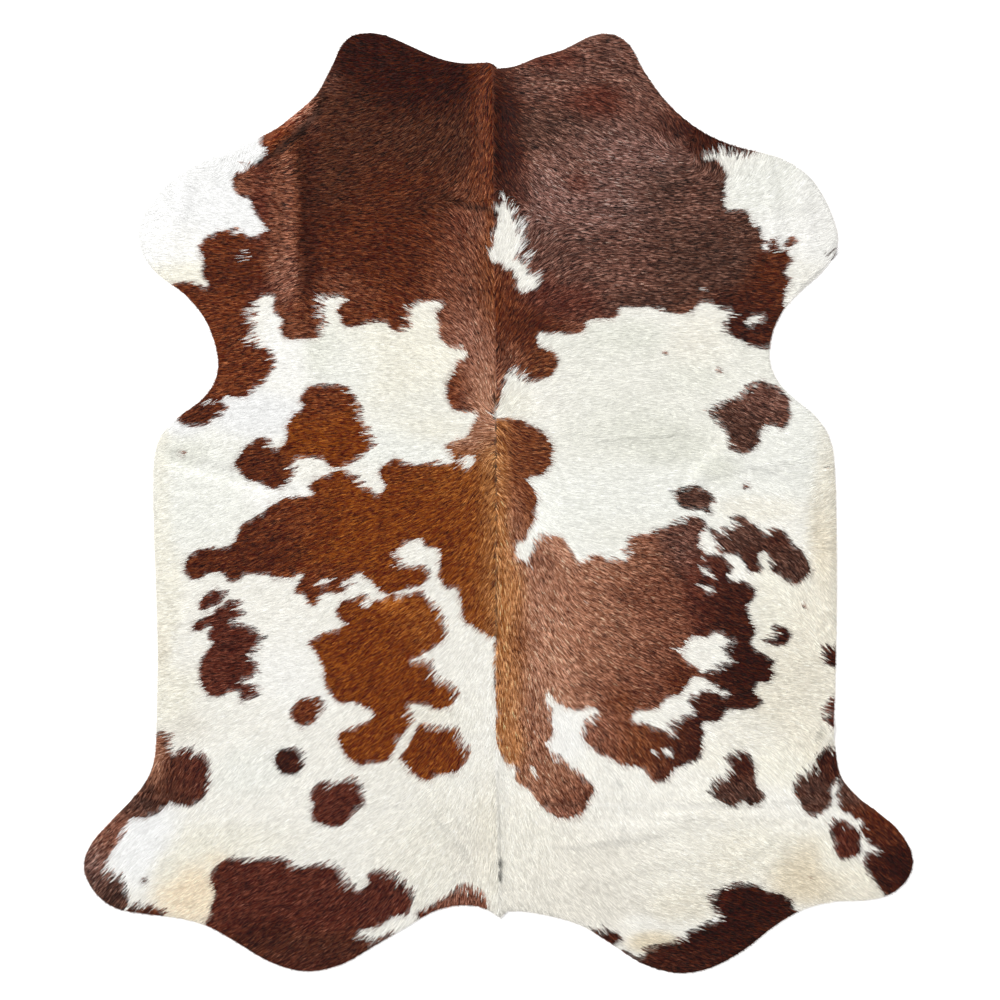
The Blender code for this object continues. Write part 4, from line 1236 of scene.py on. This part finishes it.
def tuft_mesh(name, points, colours):
    """Tufts as one mesh, with their colours, and a map that gives each tuft a cell of its own."""
    count = len(points)
    corners = 2 * HAIRS + 1
    mesh = bpy.data.meshes.new(name)
    mesh.vertices.add(count * corners)
    mesh.vertices.foreach_set("co", points.ravel())
    hair = np.array([(index, index + 1, HAIRS + 1 + index) for index in range(HAIRS)])
    faces = (np.arange(count) * corners)[:, None, None] + hair
    mesh.loops.add(faces.size)
    mesh.loops.foreach_set("vertex_index", faces.ravel())
    mesh.polygons.add(count * HAIRS)
    mesh.polygons.foreach_set("loop_start", np.arange(0, faces.size, 3))
    mesh.update(calc_edges=True)

    cell = np.column_stack([np.arange(count) % CELLS, np.arange(count) // CELLS])
    spots = (cell[:, None, None, :] + np.array(TUFT_CELL)) / CELLS
    spots = np.broadcast_to(spots, (count, HAIRS, 3, 2))
    mesh.uv_layers.new(name="OFBake").data.foreach_set("uv", spots.ravel())

    shade = np.ones((count, corners, 4))
    shade[:, :, :3] = colours[:, None, :]
    shade[:, : HAIRS + 1, 3] = 0.0  # the alpha runs from 0 at the root to 1 at the tip
    colour_points(mesh, shade)
    return mesh


def add_piece(name, mesh, *materials):
    """A piece of the hide, which rides on its only body."""
    piece = bpy.data.objects.new(name, mesh)
    for material in materials:
        mesh.materials.append(material)
    bpy.context.scene.collection.objects.link(piece)
    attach(piece, "root")
    return piece


def skin_mesh(rim, middle, folds):
    """The closed thin skin: its upper face, which the hair grows from, and its suede underside."""
    ring = moved_in(rim, SKIN_INSET)
    inner = grid_points(ring.min(axis=0), ring.max(axis=0), SKIN_GRID)
    inner = inner[inside(inner, ring)]
    inner = inner[distance_to(inner, ring) > LEAST_GAP]
    count = len(ring)
    spots = [Vector(point) for point in np.vstack([ring, inner])]
    only_inside = 1
    flat, _, faces, *_ = delaunay_2d_cdt(spots, [], [list(range(count))], only_inside, 1e-6)
    flat = np.array([tuple(point) for point in flat])
    total = len(flat)
    raised = lift(flat, folds)
    top = np.column_stack([flat, raised + LEATHER])
    low = np.column_stack([flat, raised])
    polygons = [tuple(face) for face in faces]
    polygons += [tuple(index + total for index in reversed(face)) for face in faces]
    for index in range(count):
        after = (index + 1) % count
        polygons.append((index, after, after + total, index + total))
    mesh = bpy.data.meshes.new("hide_skin")
    mesh.from_pydata(np.vstack([top, low]).tolist(), [], polygons)
    mesh.update()

    slots = np.ones(len(polygons), np.int32)  # suede
    slots[: len(faces)] = 0  # undercoat
    mesh.polygons.foreach_set("material_index", slots)
    pixels = (flat + middle) / (PIXEL, -PIXEL)
    tone = coat_tone(pixels, marked(pixels))
    shade = np.ones((2 * total, 4))
    shade[:, :3] = np.tile(linear(tone[:, :3]) * UNDERCOAT_SHADE, (2, 1))
    colour_points(mesh, shade)
    return mesh


class Nodes:
    """Short calls for building a material."""

    def __init__(self, name):
        self.material = bpy.data.materials.new(name)
        self.material.use_nodes = True
        self.tree = self.material.node_tree
        self.shader = self.tree.nodes["Principled BSDF"]

    def add(self, kind, **values):
        """A new node with these values of its inputs or, where it has no such input, its settings."""
        node = self.tree.nodes.new(kind)
        for name, value in values.items():
            if name in node.inputs:
                node.inputs[name].default_value = value
            else:
                setattr(node, name, value)
        return node

    def link(self, source, target):
        """Feeds the source into the target."""
        self.tree.links.new(source, target)

    def noise(self, scale, detail=3.0):
        """Noise in the object's own metres."""
        where = self.add("ShaderNodeTexCoord")
        noise = self.add("ShaderNodeTexNoise", Scale=scale, Detail=detail)
        self.link(where.outputs["Object"], noise.inputs["Vector"])
        return noise.outputs["Fac"]

    def ranged(self, value, low, high, first=0.3, last=0.7):
        """The value, with its range from first to last spread from low to high."""
        node = self.add("ShaderNodeMapRange")
        node.inputs["From Min"].default_value = first
        node.inputs["From Max"].default_value = last
        node.inputs["To Min"].default_value = low
        node.inputs["To Max"].default_value = high
        self.link(value, node.inputs["Value"])
        return node.outputs["Result"]

    def times(self, colour, factor):
        """The colour made lighter or darker by the factor."""
        node = self.add("ShaderNodeVectorMath", operation="SCALE")
        self.link(colour, node.inputs[0])
        self.link(factor, node.inputs["Scale"])
        return node.outputs["Vector"]

    def bump(self, height, depth, strength=1.0):
        """Raises the surface by the height, as if by up to the depth in metres."""
        node = self.add("ShaderNodeBump", Strength=strength, Distance=depth)
        self.link(height, node.inputs["Height"])
        self.link(node.outputs["Normal"], self.shader.inputs["Normal"])


def hair_material():
    """Short hair. Its colour comes with the tufts, and varies softly along them and from place to place."""
    nodes = Nodes("hair")
    own = nodes.add("ShaderNodeAttribute", attribute_name="coat")
    along = nodes.ranged(own.outputs["Alpha"], 0.86, 1.06, 0.0, 1.0)
    shaded = nodes.times(own.outputs["Color"], along)
    mottled = nodes.times(shaded, nodes.ranged(nodes.noise(60.0), 0.95, 1.05))
    nodes.link(mottled, nodes.shader.inputs["Base Color"])
    nodes.link(nodes.ranged(nodes.noise(140.0), 0.40, 0.56), nodes.shader.inputs["Roughness"])
    nodes.bump(nodes.noise(1800.0, 2.0), 0.00006, 0.4)
    nodes.shader.inputs["Specular IOR Level"].default_value = 0.08
    return nodes.material


def undercoat_material():
    """The dense short hair next to the skin, seen only between the tufts."""
    nodes = Nodes("undercoat")
    own = nodes.add("ShaderNodeAttribute", attribute_name="coat")
    fine = nodes.ranged(nodes.noise(900.0, 4.0), 0.75, 1.15)
    nodes.link(nodes.times(own.outputs["Color"], fine), nodes.shader.inputs["Base Color"])
    nodes.link(nodes.ranged(nodes.noise(200.0), 0.6, 0.85), nodes.shader.inputs["Roughness"])
    nodes.bump(nodes.noise(1200.0, 4.0), 0.0004)
    nodes.shader.inputs["Specular IOR Level"].default_value = 0.2
    return nodes.material


def suede_material():
    """The brushed flesh side: pale tan, cloudy, with a fine nap."""
    nodes = Nodes("suede")
    ramp = nodes.add("ShaderNodeValToRGB")
    ramp.color_ramp.elements[0].position = 0.32
    ramp.color_ramp.elements[0].color = (0.40, 0.29, 0.20, 1)
    ramp.color_ramp.elements[1].position = 0.68
    ramp.color_ramp.elements[1].color = (0.56, 0.44, 0.33, 1)
    nodes.link(nodes.noise(7.0, 6.0), ramp.inputs["Fac"])
    nap = nodes.ranged(nodes.noise(700.0, 4.0), 0.86, 1.10)
    nodes.link(nodes.times(ramp.outputs["Color"], nap), nodes.shader.inputs["Base Color"])
    nodes.link(nodes.ranged(nodes.noise(90.0), 0.82, 0.96), nodes.shader.inputs["Roughness"])
    nodes.bump(nodes.noise(900.0, 4.0), 0.0003)
    nodes.shader.inputs["Sheen Weight"].default_value = 0.2
    nodes.shader.inputs["Specular IOR Level"].default_value = 0.15
    return nodes.material


def make_hide():
    """The skin and its coat, in the place of the plain solid."""
    rng = np.random.default_rng(SEED)
    rim, middle = edge_in_metres()
    folds = [fold._replace(start=place(fold.start, middle), end=place(fold.end, middle)) for fold in FOLDS]
    skin = add_piece("hide_skin", skin_mesh(rim, middle, folds), undercoat_material(), suede_material())
    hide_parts("hide")
    coat = Coat(rim, middle, rng)
    hair = hair_material()
    for strip, lot in coat.strips().items():
        name = "coat_" + strip
        points = tuft_points(coat, lot, folds, rng)
        add_piece(name, tuft_mesh(name, points, coat.colours[lot]), hair)


def make_floor():
    """The plain white floor under the rug, which is only a stage."""
    mesh = bpy.data.meshes.new("floor")
    half = FLOOR_HALF
    corners = [(-half, -half, 0), (half, -half, 0), (half, half, 0), (-half, half, 0)]
    mesh.from_pydata(corners, [], [(0, 1, 2, 3)])
    nodes = Nodes("floor")
    nodes.shader.inputs["Base Color"].default_value = (0.93, 0.93, 0.93, 1)
    nodes.shader.inputs["Roughness"].default_value = 0.9
    nodes.shader.inputs["Specular IOR Level"].default_value = 0.0
    mesh.materials.append(nodes.material)
    floor = bpy.data.objects.new("floor", mesh)
    floor.location.z = -FLOOR_GAP
    bpy.context.scene.collection.objects.link(floor)


def add_light(name, spot, size, power):
    """A square soft light that faces the middle of the hide."""
    lamp = bpy.data.lights.new(name, "AREA")
    lamp.size = size
    lamp.energy = power
    holder = bpy.data.objects.new(name, lamp)
    holder.location = spot
    holder.rotation_euler = (-Vector(spot)).to_track_quat("-Z", "Y").to_euler()
    bpy.context.scene.collection.objects.link(holder)


def make_light():
    """Even light from all round, a soft key light from the top left and a weaker one across from it."""
    world = bpy.data.worlds.new("studio")
    world.use_nodes = True
    background = world.node_tree.nodes["Background"]
    background.inputs["Color"].default_value = (1, 1, 1, 1)
    background.inputs["Strength"].default_value = 0.60
    bpy.context.scene.world = world
    add_light("key", (-3.6, 3.4, 5.2), 2.4, 480)
    add_light("fill", (3.8, -2.6, 5.0), 3.5, 125)
    bpy.context.scene.view_settings.view_transform = "Standard"


def make_camera():
    """Straight above the middle of the picture, which it frames from side to side."""
    data = bpy.data.cameras.new("camera")
    data.sensor_width = 36.0
    data.lens = data.sensor_width * CAMERA_HEIGHT / (PICTURE * PIXEL)
    camera = bpy.data.objects.new("camera", data)
    _, middle = edge_in_metres()
    x, y = place((PICTURE / 2, PICTURE / 2), middle)
    camera.location = (x, y, CAMERA_HEIGHT)
    bpy.context.scene.collection.objects.link(camera)
    bpy.context.scene.camera = camera


make_camera()
make_hide()
make_floor()
make_light()
